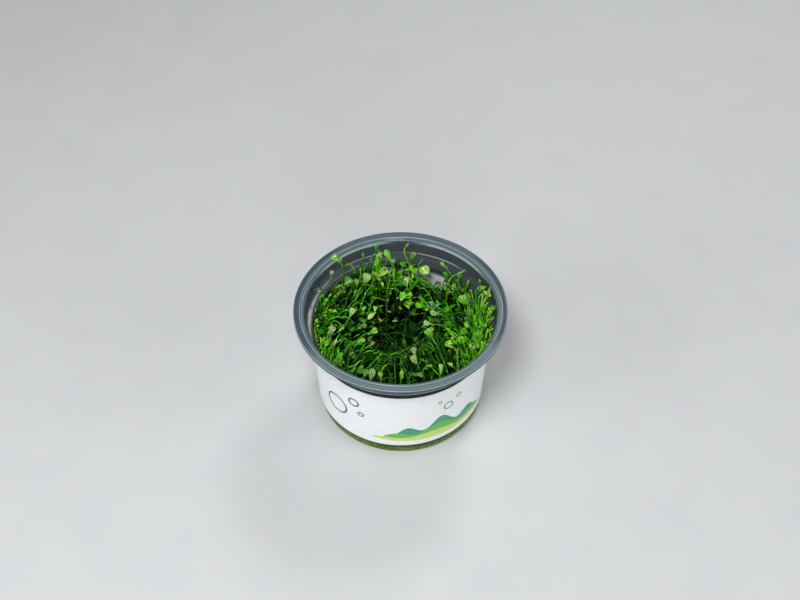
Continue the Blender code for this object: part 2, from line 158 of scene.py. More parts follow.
def mark(mesh: Mesh, kind: str = "FLOAT", **numbers: Sequence[float]) -> None:
    """Keeps numbers on the points of a mesh.

    Args:
        mesh: The mesh.
        kind: Blender's name for the type of number.
        **numbers: The numbers, under the name of their attribute.
    """
    field = "vector" if kind == "FLOAT_VECTOR" else "value"
    for name, values in numbers.items():
        mesh.attributes.new(name, kind, "POINT").data.foreach_set(field, values)


def face_outwards(mesh: Mesh) -> None:
    """Turns every face of a closed mesh to point outwards, and shades it smooth.

    Args:
        mesh: The mesh.
    """
    bm = bmesh.new()
    bm.from_mesh(mesh)
    bmesh.ops.recalc_face_normals(bm, faces=bm.faces)
    bm.to_mesh(mesh)
    bm.free()
    mesh.shade_smooth()


class Skin:
    """A mesh in the making: its points in millimetres, its faces, and numbers kept on its points."""

    def __init__(self) -> None:
        """Starts an empty mesh."""
        self.points: list[Vector] = []
        self.faces: list[tuple[int, ...]] = []
        self.numbers: dict[str, list[float]] = {}

    def loft(self, rings: list[Ring], numbers: Optional[Numbers] = None, closed: bool = False) -> None:
        """Skins closed rings of equal count one to the next.

        Args:
            rings: The rings in order.
            numbers: Further numbers for each point of each ring, by the attribute's name.
            closed: True if the last ring joins the first, and False if both ends get a cap.
        """
        start, count = len(self.points), len(rings[0])
        for ring in rings:
            self.points.extend(ring)
        for name, rows in (numbers or {}).items():
            kept = self.numbers.setdefault(name, [0.0] * start)
            kept.extend(number for row in rows for number in row)
        spans = len(rings) if closed else len(rings) - 1
        for k in range(spans):
            lower, upper = start + k * count, start + (k + 1) % len(rings) * count
            for i in range(count):
                j = (i + 1) % count
                self.faces.append((lower + i, lower + j, upper + j, upper + i))
        if not closed:
            self.faces.append(tuple(start + i for i in reversed(range(count))))
            self.faces.append(tuple(start + spans * count + i for i in range(count)))

    def mesh(self, name: str) -> Mesh:
        """The mesh in metres, with its faces pointing outwards.

        Args:
            name: The mesh's name.

        Returns:
            The finished mesh.
        """
        made = bpy.data.meshes.new(name)
        made.from_pydata([point * MM for point in self.points], [], self.faces)
        mark(made, **self.numbers)
        face_outwards(made)
        return made


def show(name: str, mesh: Mesh, finish: "Finish", sharp: float = 180.0) -> Object:
    """Puts a mesh in the scene as a piece.

    Args:
        name: The piece's name.
        mesh: Its mesh, in metres.
        finish: What it is made of.
        sharp: The angle in degrees past which an edge stays sharp.

    Returns:
        The piece's object.
    """
    mesh.materials.clear()
    mesh.materials.append(finish.material())
    mesh.set_sharp_from_angle(angle=math.radians(sharp))
    piece = bpy.data.objects.new(name, mesh)
    bpy.context.scene.collection.objects.link(piece)
    return piece


def stand_for(piece: Object, slot: str, *nodes: str) -> None:
    """Makes a piece ride on the part and take the place of CAD nodes.

    Args:
        piece: The finished piece.
        slot: The record's material slot; not used.
        *nodes: The CAD nodes that the piece replaces.
    """
    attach(piece, "root")
    if nodes:
        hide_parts(*nodes)
    LOG.info("%s: %d faces", piece.name, len(piece.data.polygons))


# Finishes


@dataclass(frozen=True)
class Finish:
    """What a surface is made of. Its Blender material is made once, on first use."""

    title: str
    roughness: float
    ior: float

    def material(self) -> Material:
        """The finish's Blender material.

        Returns:
            The material, made now if nothing has used it yet.
        """
        made = bpy.data.materials.get(self.title)
        if made is None:
            made = bpy.data.materials.new(self.title)
            made.use_nodes = True
            shader = made.node_tree.nodes["Principled BSDF"]
            feed(made.node_tree, shader, {"Roughness": self.roughness, "IOR": self.ior})
            self.dress(made.node_tree, shader)
        return made

    def dress(self, tree: NodeTree, shader: Node) -> None:
        """Adds what only this finish has to its Principled shader.

        Args:
            tree: The material's node tree.
            shader: Its Principled BSDF.
        """
        raise NotImplementedError


def matted_fibres(tree: NodeTree, size: float) -> Node:
    """Adds a pattern of fibres that lie mostly level: a tangled noise, squeezed in height.

    Args:
        tree: The material's node tree.
        size: How coarse the fibres are.

    Returns:
        The node that holds the pattern.
    """
    squeeze, detail, rough, tangle = (1, 1, 2.6), 6.0, 0.65, 1.4
    place = add_node(tree, "ShaderNodeTexCoord").outputs["Object"]
    flat = add_node(tree, "ShaderNodeMapping", {"Vector": place, "Scale": squeeze})
    return add_node(tree, "ShaderNodeTexNoise", {
        "Vector": flat, "Scale": 1 / (size * MM), "Detail": detail, "Roughness": rough, "Distortion": tangle,
    })


@dataclass(frozen=True)
class MouldedPolypropylene(Finish):
    """Natural polypropylene from an injection mould: see-through with a grey blue haze, glossy, faintly wavy.

    The haze thickens where the wall is seen edge on, so its rims and steps draw as lines. The neck and the
    band are painted darker than the thick rim, a painted shade, and fine bright arcs are painted on the
    moulded edges as painted highlights. The lowest part is painted with the colours of the roots behind it,
    a painted reflection of them.
    """

    title: str = "moulded clear polypropylene"
    roughness: float = 0.16
    ior: float = 1.49
    shine: float = 0.16
    coat: float = 0.04
    coat_roughness: float = 0.06
    # The tints by haze; the dark ones of the neck and the band are a painted shade.
    tints_and_painted_shade: Stops = ((0.06, "5c6b75"), (0.7, "242d33"), (0.8, "2f3940"), (0.86, "3a4c57"))
    gleam_tint: str = "d4e8e4"
    # The roots' colours, painted on the foot as a painted reflection of the roots behind it.
    painted_root_reflection: Stops = ((0.38, "162606"), (0.48, "3c5e12"), (0.57, "7ea030"), (0.68, "d6e27e"))
    fibre_size: float = 1.3
    edge_from: float = 0.4
    edge_haze: float = 0.96
    flow_size: float = 14.0
    flow_depth: float = 0.05
    flow_strength: float = 0.6

    def dress(self, tree: NodeTree, shader: Node) -> None:
        """Adds the tint with its painted shade, the haze, the painted highlight arcs, the roots' painted
        reflection on the foot, and the slow waves that the melt's flow leaves.

        Args:
            tree: The material's node tree.
            shader: Its Principled BSDF.
        """
        haze, foot, gleam = (
            add_node(tree, "ShaderNodeAttribute", attribute_name=name).outputs["Fac"]
            for name in ("haze", "foot", "gleam")
        )
        fibres = matted_fibres(tree, self.fibre_size)
        # Painted reflection: the roots' colours, mixed onto the foot.
        roots = add_node(tree, "ShaderNodeValToRGB", {"Fac": fibres}, stops=self.painted_root_reflection)
        # The tint by haze: darker in the neck and the band, a painted shade.
        tint = add_node(tree, "ShaderNodeValToRGB", {"Fac": haze}, stops=self.tints_and_painted_shade)
        colour = add_node(tree, "ShaderNodeMix", {0: foot, 6: tint, 7: roots}, data_type="RGBA")
        # Painted highlight: the arcs' pale colour, mixed in where the attribute is high, which also makes
        # them more opaque.
        arc = linear(self.gleam_tint)
        ringed = add_node(tree, "ShaderNodeMix", {0: gleam, 6: colour, 7: arc}, data_type="RGBA")
        place = add_node(tree, "ShaderNodeTexCoord").outputs["Object"]
        flow = add_node(tree, "ShaderNodeTexNoise", {"Vector": place, "Scale": 1 / (self.flow_size * MM)})
        depth = self.flow_depth * MM
        bump = add_node(
            tree, "ShaderNodeBump", {"Height": flow, "Distance": depth, "Strength": self.flow_strength},
        )
        slant = add_node(tree, "ShaderNodeLayerWeight", {"Blend": 0.5}).outputs["Facing"]
        edge = add_node(
            tree, "ShaderNodeMapRange", {"Value": slant, 1: self.edge_from, 2: 1.0, 3: 0.0, 4: 1.0},
            interpolation_type="SMOOTHSTEP",
        )
        seen = add_node(tree, "ShaderNodeMix", {0: edge, 2: haze, 3: self.edge_haze}, data_type="FLOAT")
        solid = add_node(tree, "ShaderNodeMath", {0: seen, 1: gleam}, operation="MAXIMUM")
        feed(tree, shader, {
            "Base Color": ringed, "Alpha": solid, "Normal": bump, "Specular IOR Level": self.shine,
            "Coat Weight": self.coat, "Coat Roughness": self.coat_roughness,
        })


@dataclass(frozen=True, kw_only=True)
class Mottled(Finish):
    """A colour that is even but for faint patches of a second shade, at a real size."""

    shade: str
    light: str
    patch_size: float
    patch_edges: Span
    patch_detail: float = 2.0

    def patches(self, tree: NodeTree) -> Node:
        """Adds the pattern that the patches follow.

        Args:
            tree: The material's node tree.

        Returns:
            The node that holds the pattern.
        """
        place = add_node(tree, "ShaderNodeTexCoord").outputs["Object"]
        size = self.patch_size * MM
        return add_node(
            tree, "ShaderNodeTexNoise", {"Vector": place, "Scale": 1 / size, "Detail": self.patch_detail},
        )

    def dress(self, tree: NodeTree, shader: Node) -> None:
        """Adds the two shades.

        Args:
            tree: The material's node tree.
            shader: Its Principled BSDF.
        """
        stops = tuple(zip(self.patch_edges, (self.shade, self.light)))
        ramp = add_node(tree, "ShaderNodeValToRGB", {"Fac": self.patches(tree)}, stops=stops)
        feed(tree, shader, {"Base Color": ramp})


@dataclass(frozen=True, kw_only=True)
class CoatedLabelFilm(Mottled):
    """White printed film with a satin coat: bright, even, thin enough to glow, with faint fibres."""

    title: str = "coated white label film"
    roughness: float = 0.38
    ior: float = 1.48
    shade: str = "f0f3f5"
    light: str = "fbfdfe"
    patch_size: float = 0.6
    patch_edges: Span = (0.35, 0.6)
    patch_detail: float = 4.0
    glow: float = 0.5
    glow_reach: float = 0.8
    glow_tint: Triple = (1.0, 0.95, 0.9)
    fibre_depth: float = 0.01
    fibre_strength: float = 0.3

    def dress(self, tree: NodeTree, shader: Node) -> None:
        """Adds the white of the film, its glow and the relief of its fibres.

        Args:
            tree: The material's node tree.
            shader: Its Principled BSDF.
        """
        super().dress(tree, shader)
        depth = self.fibre_depth * MM
        bump = add_node(
            tree, "ShaderNodeBump",
            {"Height": self.patches(tree), "Distance": depth, "Strength": self.fibre_strength},
        )
        feed(tree, shader, {
            "Normal": bump, "Subsurface Weight": self.glow, "Subsurface Radius": self.glow_tint,
            "Subsurface Scale": self.glow_reach * MM,
        })


@dataclass(frozen=True, kw_only=True)
class PrintedInk(Mottled):
    """Flat printing ink on the film: even colour, with the grain of its screen drawn coarser than it is."""

    roughness: float = 0.42
    ior: float = 1.5
    patch_size: float = 0.25
    patch_edges: Span = (0.4, 0.62)


@dataclass(frozen=True, kw_only=True)
class StudioFloor(Mottled):
    """Matt painted board under the cup: pale, even, without a pattern that would show."""

    title: str = "matt painted board"
    roughness: float = 0.85
    ior: float = 1.45
    shade: str = "bfc1c3"
    light: str = "c2c4c5"
    patch_size: float = 30.0
    patch_edges: Span = (0.3, 0.7)


@dataclass(frozen=True)
class RootGel(Finish):
    """Agar jelly grown through with roots: wet, dark green, with pale matted fibres under its surface."""

    title: str = "agar jelly full of roots"
    roughness: float = 0.25
    ior: float = 1.36
    shades: Stops = ((0.34, "1a2c06"), (0.46, "446a18"), (0.57, "8cb03a"), (0.70, "dce68c"))
    fibre_size: float = 1.3
    fibre_depth: float = 0.3
    fibre_strength: float = 0.8

    def dress(self, tree: NodeTree, shader: Node) -> None:
        """Adds the fibres and their relief.

        Args:
            tree: The material's node tree.
            shader: Its Principled BSDF.
        """
        fibres = matted_fibres(tree, self.fibre_size)
        ramp = add_node(tree, "ShaderNodeValToRGB", {"Fac": fibres}, stops=self.shades)
        depth = self.fibre_depth * MM
        bump = add_node(
            tree, "ShaderNodeBump", {"Height": fibres, "Distance": depth, "Strength": self.fibre_strength},
        )
        feed(tree, shader, {"Base Color": ramp, "Normal": bump})


@dataclass(frozen=True, kw_only=True)
class WetLeaf(Finish):
    """Young clover leaf, wet from its cup: waxy gloss, soft light through the blade, fine fanned veins.

    The blade is dented between its veins, and the film of water is thickest on the bright upper leaves. There
    pale spots are painted into its colour as painted highlights, the glints of beads of water.
    """

    roughness: float = 0.3
    ior: float = 1.42
    shades: Stops
    vein_count: int = 9
    vein_share: float = 0.16
    vein_shade: str = "b8e078"
    vein_edge: float = 0.55
    blotch_size: float = 1.6
    blotch_detail: float = 3.0
    blotch_share: float = 0.6
    blotches: Stops = ((0.32, "a4b488"), (0.55, "ffffff"))
    through: float = 0.12
    through_reach: float = 0.6
    through_tint: Triple = (0.5, 1.0, 0.25)
    wetness: float = 0.6
    film_roughness: float = 0.1
    gloss: float = 0.1
    dent_depth: float = 0.5
    dent_strength: float = 0.8
    # Painted highlights: pale spots from a noise on the bright leaves, for glints in beads of water.
    glint_size: float = 1.1
    glint_edges: Span = (0.62, 0.7)
    glint_tones: Span = (0.2, 0.7)
    glint_share: float = 0.85
    glint_paint: str = "e6f6dc"

    def dress(self, tree: NodeTree, shader: Node) -> None:
        """Adds tone from root to tip, blotches, veins, the painted glints and the water's coat.

        Args:
            tree: The material's node tree.
            shader: Its Principled BSDF.
        """
        place = add_node(tree, "ShaderNodeTexCoord").outputs["Object"]
        tone, across = (
            add_node(tree, "ShaderNodeAttribute", attribute_name=name).outputs["Fac"]
            for name in ("tone", "across")
        )
        shades = add_node(tree, "ShaderNodeValToRGB", {"Fac": tone}, stops=self.shades)
        size = self.blotch_size * MM
        clouds = add_node(
            tree, "ShaderNodeTexNoise", {"Vector": place, "Scale": 1 / size, "Detail": self.blotch_detail},
        )
        dulled = add_node(tree, "ShaderNodeValToRGB", {"Fac": clouds}, stops=self.blotches)
        mottled = add_node(
            tree, "ShaderNodeMix", {0: self.blotch_share, 6: shades, 7: dulled},
            data_type="RGBA", blend_type="MULTIPLY",
        )
        turn = self.vein_count * math.pi / 2
        fan = add_node(tree, "ShaderNodeMath", {0: across, 1: turn}, operation="MULTIPLY")
        wave = add_node(tree, "ShaderNodeMath", {0: fan}, operation="COSINE")
        low, most = self.vein_edge, self.vein_share
        vein = add_node(
            tree, "ShaderNodeMapRange", {"Value": wave, 1: low, 2: 1.0, 3: 0.0, 4: most},
            interpolation_type="SMOOTHSTEP",
        )
        line = linear(self.vein_shade)
        veined = add_node(tree, "ShaderNodeMix", {0: vein, 6: mottled, 7: line}, data_type="RGBA")
        # Painted highlights: pale glints, most on the brighter leaves.
        glint_noise = add_node(tree, "ShaderNodeTexNoise", {"Vector": place, "Scale": 1 / (self.glint_size * MM)})
        dry, wet = self.glint_tones
        most = add_node(
            tree, "ShaderNodeMapRange", {"Value": tone, 1: dry, 2: wet, 3: 0.0, 4: self.glint_share},
        )
        low, high = self.glint_edges
        glint_mask = add_node(
            tree, "ShaderNodeMapRange", {"Value": glint_noise, 1: low, 2: high, 3: 0.0, 4: most},
            interpolation_type="SMOOTHSTEP",
        )
        glint = linear(self.glint_paint)
        glinted = add_node(tree, "ShaderNodeMix", {0: glint_mask, 6: veined, 7: glint}, data_type="RGBA")
        dents = add_node(tree, "ShaderNodeMath", {0: vein, 1: clouds}, operation="ADD")
        depth = self.dent_depth * MM
        bump = add_node(
            tree, "ShaderNodeBump", {"Height": dents, "Distance": depth, "Strength": self.dent_strength},
            invert=True,
        )
        film = add_node(tree, "ShaderNodeMath", {0: tone, 1: self.wetness}, operation="MULTIPLY")
        feed(tree, shader, {
            "Base Color": glinted, "Normal": bump, "Specular IOR Level": self.gloss, "Coat Weight": film,
            "Coat Roughness": self.film_roughness, "Subsurface Weight": self.through,
            "Subsurface Radius": self.through_tint, "Subsurface Scale": self.through_reach * MM,
        })


class Tone(Enum):
    """The shades of a single stalk: the record's slot, the shade at its foot, and the shades of its leaf."""

    BRIGHT = ("leaf_bright", "1c6806", "3c920c", "7cc828")
    LIME = ("leaf_lime", "3e7e0a", "6ca816", "acda4c")
    MID = ("leaf_mid", "164c08", "28740e", "509824")
    DARK = ("leaf_dark", "0a3008", "104410", "2c6428")
    TEAL = ("leaf_teal", "1e5c14", "146a34", "48a86c")
    PALE = ("leaf_pale", "2c6810", "508c1e", "98c850")
    GREY = ("leaf_grey", "34481e", "5c7248", "a49c90")

    @property
    def slot(self) -> str:
        """The record's material slot."""
        return self.value[0]

    def finish(self) -> WetLeaf:
        """The leaf finish in this tone.

        Returns:
            The finish, with broad pale veins in the two pale tones.
        """
        foot, blade, light = self.value[1:]
        veins = {"vein_share": 0.4, "vein_shade": "c8e894", "vein_edge": 0.4}
        if self in (Tone.PALE, Tone.GREY):
            veins = {"vein_share": 0.72, "vein_shade": "d8f0b8", "vein_edge": -0.1}
        return WetLeaf(
            title=f"wet clover leaf {self.name.lower()}", wetness=1.0, vein_count=7,
            shades=((0.0, foot), (0.55, blade), (1.0, light)), **veins,
        )


CLEAR_CUP = MouldedPolypropylene()
LABEL_FILM = CoatedLabelFilm()
ROOT_GEL = RootGel()
ROOT_SKIN = WetLeaf(
    title="wet clover roots",
    shades=((0.0, "2e4a20"), (0.5, "6f8a4a"), (0.85, "a8b080"), (1.0, "c8c8a8")),
)
CROWD_LEAF = WetLeaf(
    title="wet clover leaves in a crowd",
    vein_share=0.12,
    gloss=0.0,
    shades=(
        (0.0, "031401"), (0.3, "0f4403"), (0.52, "2a7c06"), (0.7, "50b40a"),
        (0.87, "8ce018"), (0.95, "b8dc70"), (1.0, "9a8878"),
    ),
)
"""Its last shade is that of a dead leaf, greyish pink."""
INKS = {
    "ink_teal": PrintedInk(title="teal printing ink", shade="2f8f6a", light="3fa27c"),
    "ink_green": PrintedInk(title="green printing ink", shade="5fae46", light="72bd56"),
    "ink_yellow": PrintedInk(title="yellow green printing ink", shade="b9d56a", light="c9e084"),
    "ink_grey": PrintedInk(title="dark grey printing ink", shade="404448", light="4c5054"),
}


# The cup and its wrap


class PaintedHighlight(NamedTuple):
    """A painted highlight, an arc on the cup: its radius and height, its strength, its bearings in degrees,
    its width.
    """

    radius: float
    height: float
    share: float
    first: float = -60.0
    last: float = 420.0
    width: float = 0.42


PAINTED_HIGHLIGHTS = (
    PaintedHighlight(50.4, 59.9, 0.5), PaintedHighlight(47.4, 60.1, 0.45), PaintedHighlight(46.4, 60.3, 0.4), PaintedHighlight(45.5, 59.0, 0.35),
    PaintedHighlight(45.1, 58.1, 0.95, 30, 76, 0.75), PaintedHighlight(45.1, 58.1, 0.9, 100, 148, 0.75),
    PaintedHighlight(44.4, 51.5, 0.5, 50, 74), PaintedHighlight(44.4, 51.5, 0.36, 102, 128), PaintedHighlight(42.6, 50.6, 0.45, 52, 84),
    PaintedHighlight(41.8, 50.2, 0.4, 96, 200), PaintedHighlight(42.9, 50.9, 0.5, 142, 196, 0.5),
    PaintedHighlight(45.5, 51.1, 0.62, 196, 344, 1.0), PaintedHighlight(49.0, 60.0, 0.2, 214, 334, 2.4),
    PaintedHighlight(49.0, 60.0, 0.1, 40, 130, 2.0),
)
# The painted highlights: the rim and its ridge all round, the band's edges at the back, the neck, then the
# soft painted shine on the rim.
"""The rim and its ridge all round, the band's edges at the back, the neck, then the soft shine on the rim."""


@dataclass(frozen=True)
class CultureCup:
    """The moulded cup: foot ring, tapering wall, stacking shoulder, upper band, and a rim with a ridge."""

    name: str = "culture_cup"
    sides: int = 192
    wall: float = 0.8
    corner: float = 0.3
    cone_foot_radius: float = 39.55
    cone_flare: float = 0.0598
    foot_radius: float = 38.4
    foot_ring_width: float = 3.4
    foot_ring_slope: float = 1.0
    foot_recess: float = 0.9
    foot_round: float = 1.4
    floor_top: float = 1.7
    floor_fillet: float = 0.7
    shoulder_z: float = 50.2
    shoulder_rise: float = 1.2
    shoulder_ledge: float = 0.5
    band_radius: float = 45.6
    band_flare: float = 0.4
    rim_radius: float = 50.5
    rim_top: float = 60.0
    rim_thick: float = 1.0
    rim_lip_width: float = 0.7
    rim_lip_drop: float = 0.8
    ridge_top: float = 60.4
    ridge_inset: float = 0.9
    ridge_width: float = 0.6
    ridge_slope: float = 0.4
    bevel_drop: float = 1.0
    fillet: float = 0.45
    fillet_steps: int = 4
    most_of_edge: float = 0.45
    spacing: float = 0.8
    sharp: float = 50.0
    weld: float = 1e-7
    wall_haze: float = 0.06
    # The neck's and the band's haze is a painted shade: it picks dark tints and a thicker look.
    neck_painted_shade: float = 0.72
    band_painted_shade: float = 0.8
    rim_haze: float = 0.86
    # The foot's haze brings in the roots' colours, a painted reflection.
    foot_haze: float = 0.75
    neck_edges: Span = (42.0, 44.0)
    band_edges: Span = (50.0, 51.4)
    rim_edges: Span = (57.0, 59.0)
    foot_edges: Span = (3.3, 6.3)
    gleam_fade: float = 9.0

    def wall_outer(self, z: float) -> float:
        """The tapering wall's outer radius at a height."""
        return self.cone_foot_radius + self.cone_flare * z

    def wall_inner(self, z: float) -> float:
        """The tapering wall's inner radius at a height."""
        return self.wall_outer(z) - self.wall

    def room(self, z: float) -> float:
        """The radius that is free inside the cup at a height, wider over the shoulder."""
        over = eased(self.shoulder_z + 0.6, self.shoulder_z + 2.6, z)
        return self.wall_inner(min(z, self.shoulder_z)) * (1 - over) + (self.band_radius - self.wall) * over

    def profile(self) -> list[Vector]:
        """The section as (radius, 0, height), from under the floor up the outside and down the inside.

        Returns:
            The corners, before they are rounded.
        """
        band_top = self.rim_top - self.rim_thick
        lip_bottom = band_top - self.rim_lip_drop
        ring_inner = self.foot_radius - self.foot_ring_width
        ridge_inner = self.band_radius + self.ridge_inset
        ridge_outer = ridge_inner + self.ridge_width
        band_inner = self.band_radius - self.wall
        lip = self.rim_radius - self.rim_lip_width
        corners = (
            (0, self.foot_recess),
            (ring_inner - self.foot_ring_slope, self.foot_recess),
            (ring_inner, 0),
            (self.foot_radius, 0),
            (self.wall_outer(0) - self.corner, self.foot_round / 3),
            (self.wall_outer(self.foot_round), self.foot_round),
            (self.wall_outer(self.shoulder_z), self.shoulder_z),
            (self.band_radius - self.corner, self.shoulder_z + self.shoulder_rise / 2),
            (self.band_radius, self.shoulder_z + self.shoulder_rise),
            (self.band_radius + self.band_flare, band_top),
            (lip - self.corner / 2, band_top),
            (lip, lip_bottom),
            (self.rim_radius - self.corner / 2, lip_bottom),
            (self.rim_radius, lip_bottom + self.corner),
            (self.rim_radius, self.rim_top - self.corner),
            (self.rim_radius - self.corner, self.rim_top),
            (ridge_outer + self.ridge_slope, self.rim_top),
            (ridge_outer, self.ridge_top),
            (ridge_inner, self.ridge_top),
            (self.band_radius, self.rim_top - self.bevel_drop),
            (self.band_radius - self.band_flare, self.rim_top - self.bevel_drop - self.wall),
            (band_inner, self.shoulder_z + 2 * self.wall),
            (band_inner - self.shoulder_ledge, self.shoulder_z + self.shoulder_rise),
            (self.wall_inner(self.shoulder_z), self.shoulder_z + self.corner),
            (self.wall_inner(self.floor_top + self.floor_fillet), self.floor_top + self.floor_fillet),
            (self.wall_inner(self.floor_top) - self.floor_fillet, self.floor_top),
            (0, self.floor_top),
        )
        return [Vector((radius, 0, height)) for radius, height in corners]

    def rounded(self) -> list[Vector]:
        """The section with a small round in place of each corner, as the mould's edges leave.

        Returns:
            The section's points, close enough for the painted arcs.
        """
        corners = self.profile()
        made = [corners[0]]
        for before, corner, after in zip(corners, corners[1:], corners[2:]):
            most = self.most_of_edge
            reach = min(self.fillet, (before - corner).length * most, (after - corner).length * most)
            start = corner + (before - corner).normalized() * reach
            end = corner + (after - corner).normalized() * reach
            for k in range(self.fillet_steps + 1):
                t = k / self.fillet_steps
                made.append(start * (1 - t) ** 2 + corner * (2 * t * (1 - t)) + end * t**2)
        made.append(corners[-1])
        fine = [made[0]]
        for point in made[1:]:
            parts = max(1, round((point - fine[-1]).length / self.spacing))
            start = fine[-1]
            fine.extend(start.lerp(point, k / parts) for k in range(1, parts + 1))
        return fine

    def build(self) -> None:
        """Turns the section round the axis and puts the cup in the scene."""
        bm = bmesh.new()
        section = [bm.verts.new(point * MM) for point in self.rounded()]
        edges = [bm.edges.new(pair) for pair in zip(section, section[1:])]
        bmesh.ops.spin(
            bm, geom=section + edges, axis=UP, cent=(0, 0, 0), angle=math.tau, steps=self.sides,
            use_merge=True,
        )
        bmesh.ops.remove_doubles(bm, verts=bm.verts, dist=self.weld)
        mesh = bpy.data.meshes.new(self.name)
        bm.to_mesh(mesh)
        bm.free()
        heights = [vertex.co.z / MM for vertex in mesh.vertices]
        mark(mesh, haze=[self.haze(z) for z in heights], foot=[self.foot_share(z) for z in heights])
        # The painted highlight arcs, kept on the points.
        mark(mesh, gleam=[self.gleam(vertex.co / MM) for vertex in mesh.vertices])
        face_outwards(mesh)
        stand_for(show(self.name, mesh, CLEAR_CUP, self.sharp), "clear_cup", "cup")

    def haze(self, height: float) -> float:
        """How milky the plastic is at a height: least in the thin wall, most in the thick rim. In the neck
        and the band it picks dark tints, a painted shade, and in the foot it brings the roots' painted
        reflection.

        Args:
            height: The height.

        Returns:
            The haze, from 0 to 1.
        """
        neck = (self.neck_painted_shade - self.wall_haze) * eased(*self.neck_edges, height)
        band = (self.band_painted_shade - self.neck_painted_shade) * eased(*self.band_edges, height)
        rim = (self.rim_haze - self.band_painted_shade) * eased(*self.rim_edges, height)
        foot = (self.foot_haze - self.wall_haze) * self.foot_share(height)
        return self.wall_haze + neck + band + rim + foot

    def foot_share(self, height: float) -> float:
        """How far the foot's look, with the roots' colours painted on it as a painted reflection, holds: up
        to just under the label.
        """
        return 1 - eased(*self.foot_edges, height)

    def gleam(self, spot: Vector) -> float:
        """How much painted highlight a point of the cup gets: only close to the arcs where its edges are.

        Args:
            spot: The point.

        Returns:
            The painted highlight, from 0 to 1.
        """
        away = math.hypot(spot.x, spot.y)
        bearing = math.degrees(math.atan2(spot.y, spot.x)) % 360
        most = 0.0
        for gleam in PAINTED_HIGHLIGHTS:
            near = max(0.0, 1 - math.hypot(away - gleam.radius, spot.z - gleam.height) / gleam.width)
            starts = eased(gleam.first - self.gleam_fade, gleam.first + self.gleam_fade, bearing)
            ends = eased(gleam.last - self.gleam_fade, gleam.last + self.gleam_fade, bearing)
            most = max(most, gleam.share * near * starts * (1 - ends))
        return most


class Hill(NamedTuple):
    """A printed hill: its start and end along the film, its base, its rise, its half wave and its phase."""

    name: str
    ink: str
    start: float
    end: float
    base: float
    rise: float
    wave: float
    phase: float


class Bubble(NamedTuple):
    """A printed ring: its middle's place along the film and height, its outer radius, its line's width."""

    name: str
    ink: str
    along: float
    height: float
    radius: float
    line: float


HILLS = (
    Hill("hill_back", "ink_teal", -4.0, 43.0, 12.5, 12.5, 9.0, 0.9),
    Hill("hill_middle", "ink_green", -9.0, 46.0, 12.0, 8.0, 12.0, 2.9),
    Hill("hill_front", "ink_yellow", -14.0, 48.0, 11.5, 3.6, 15.0, 4.4),
)
BUBBLES = (
    Bubble("bubble_1", "ink_teal", 23.0, 31.5, 2.6, 0.7),
    Bubble("bubble_2", "ink_green", 28.6, 35.6, 1.5, 0.55),
    Bubble("bubble_3", "ink_teal", 18.4, 36.4, 1.0, 0.45),
    Bubble("bubble_4", "ink_grey", -33.0, 25.0, 6.4, 0.9),
    Bubble("bubble_5", "ink_grey", -22.4, 34.0, 2.9, 0.8),
    Bubble("bubble_6", "ink_grey", -19.0, 26.6, 1.7, 0.65),
)


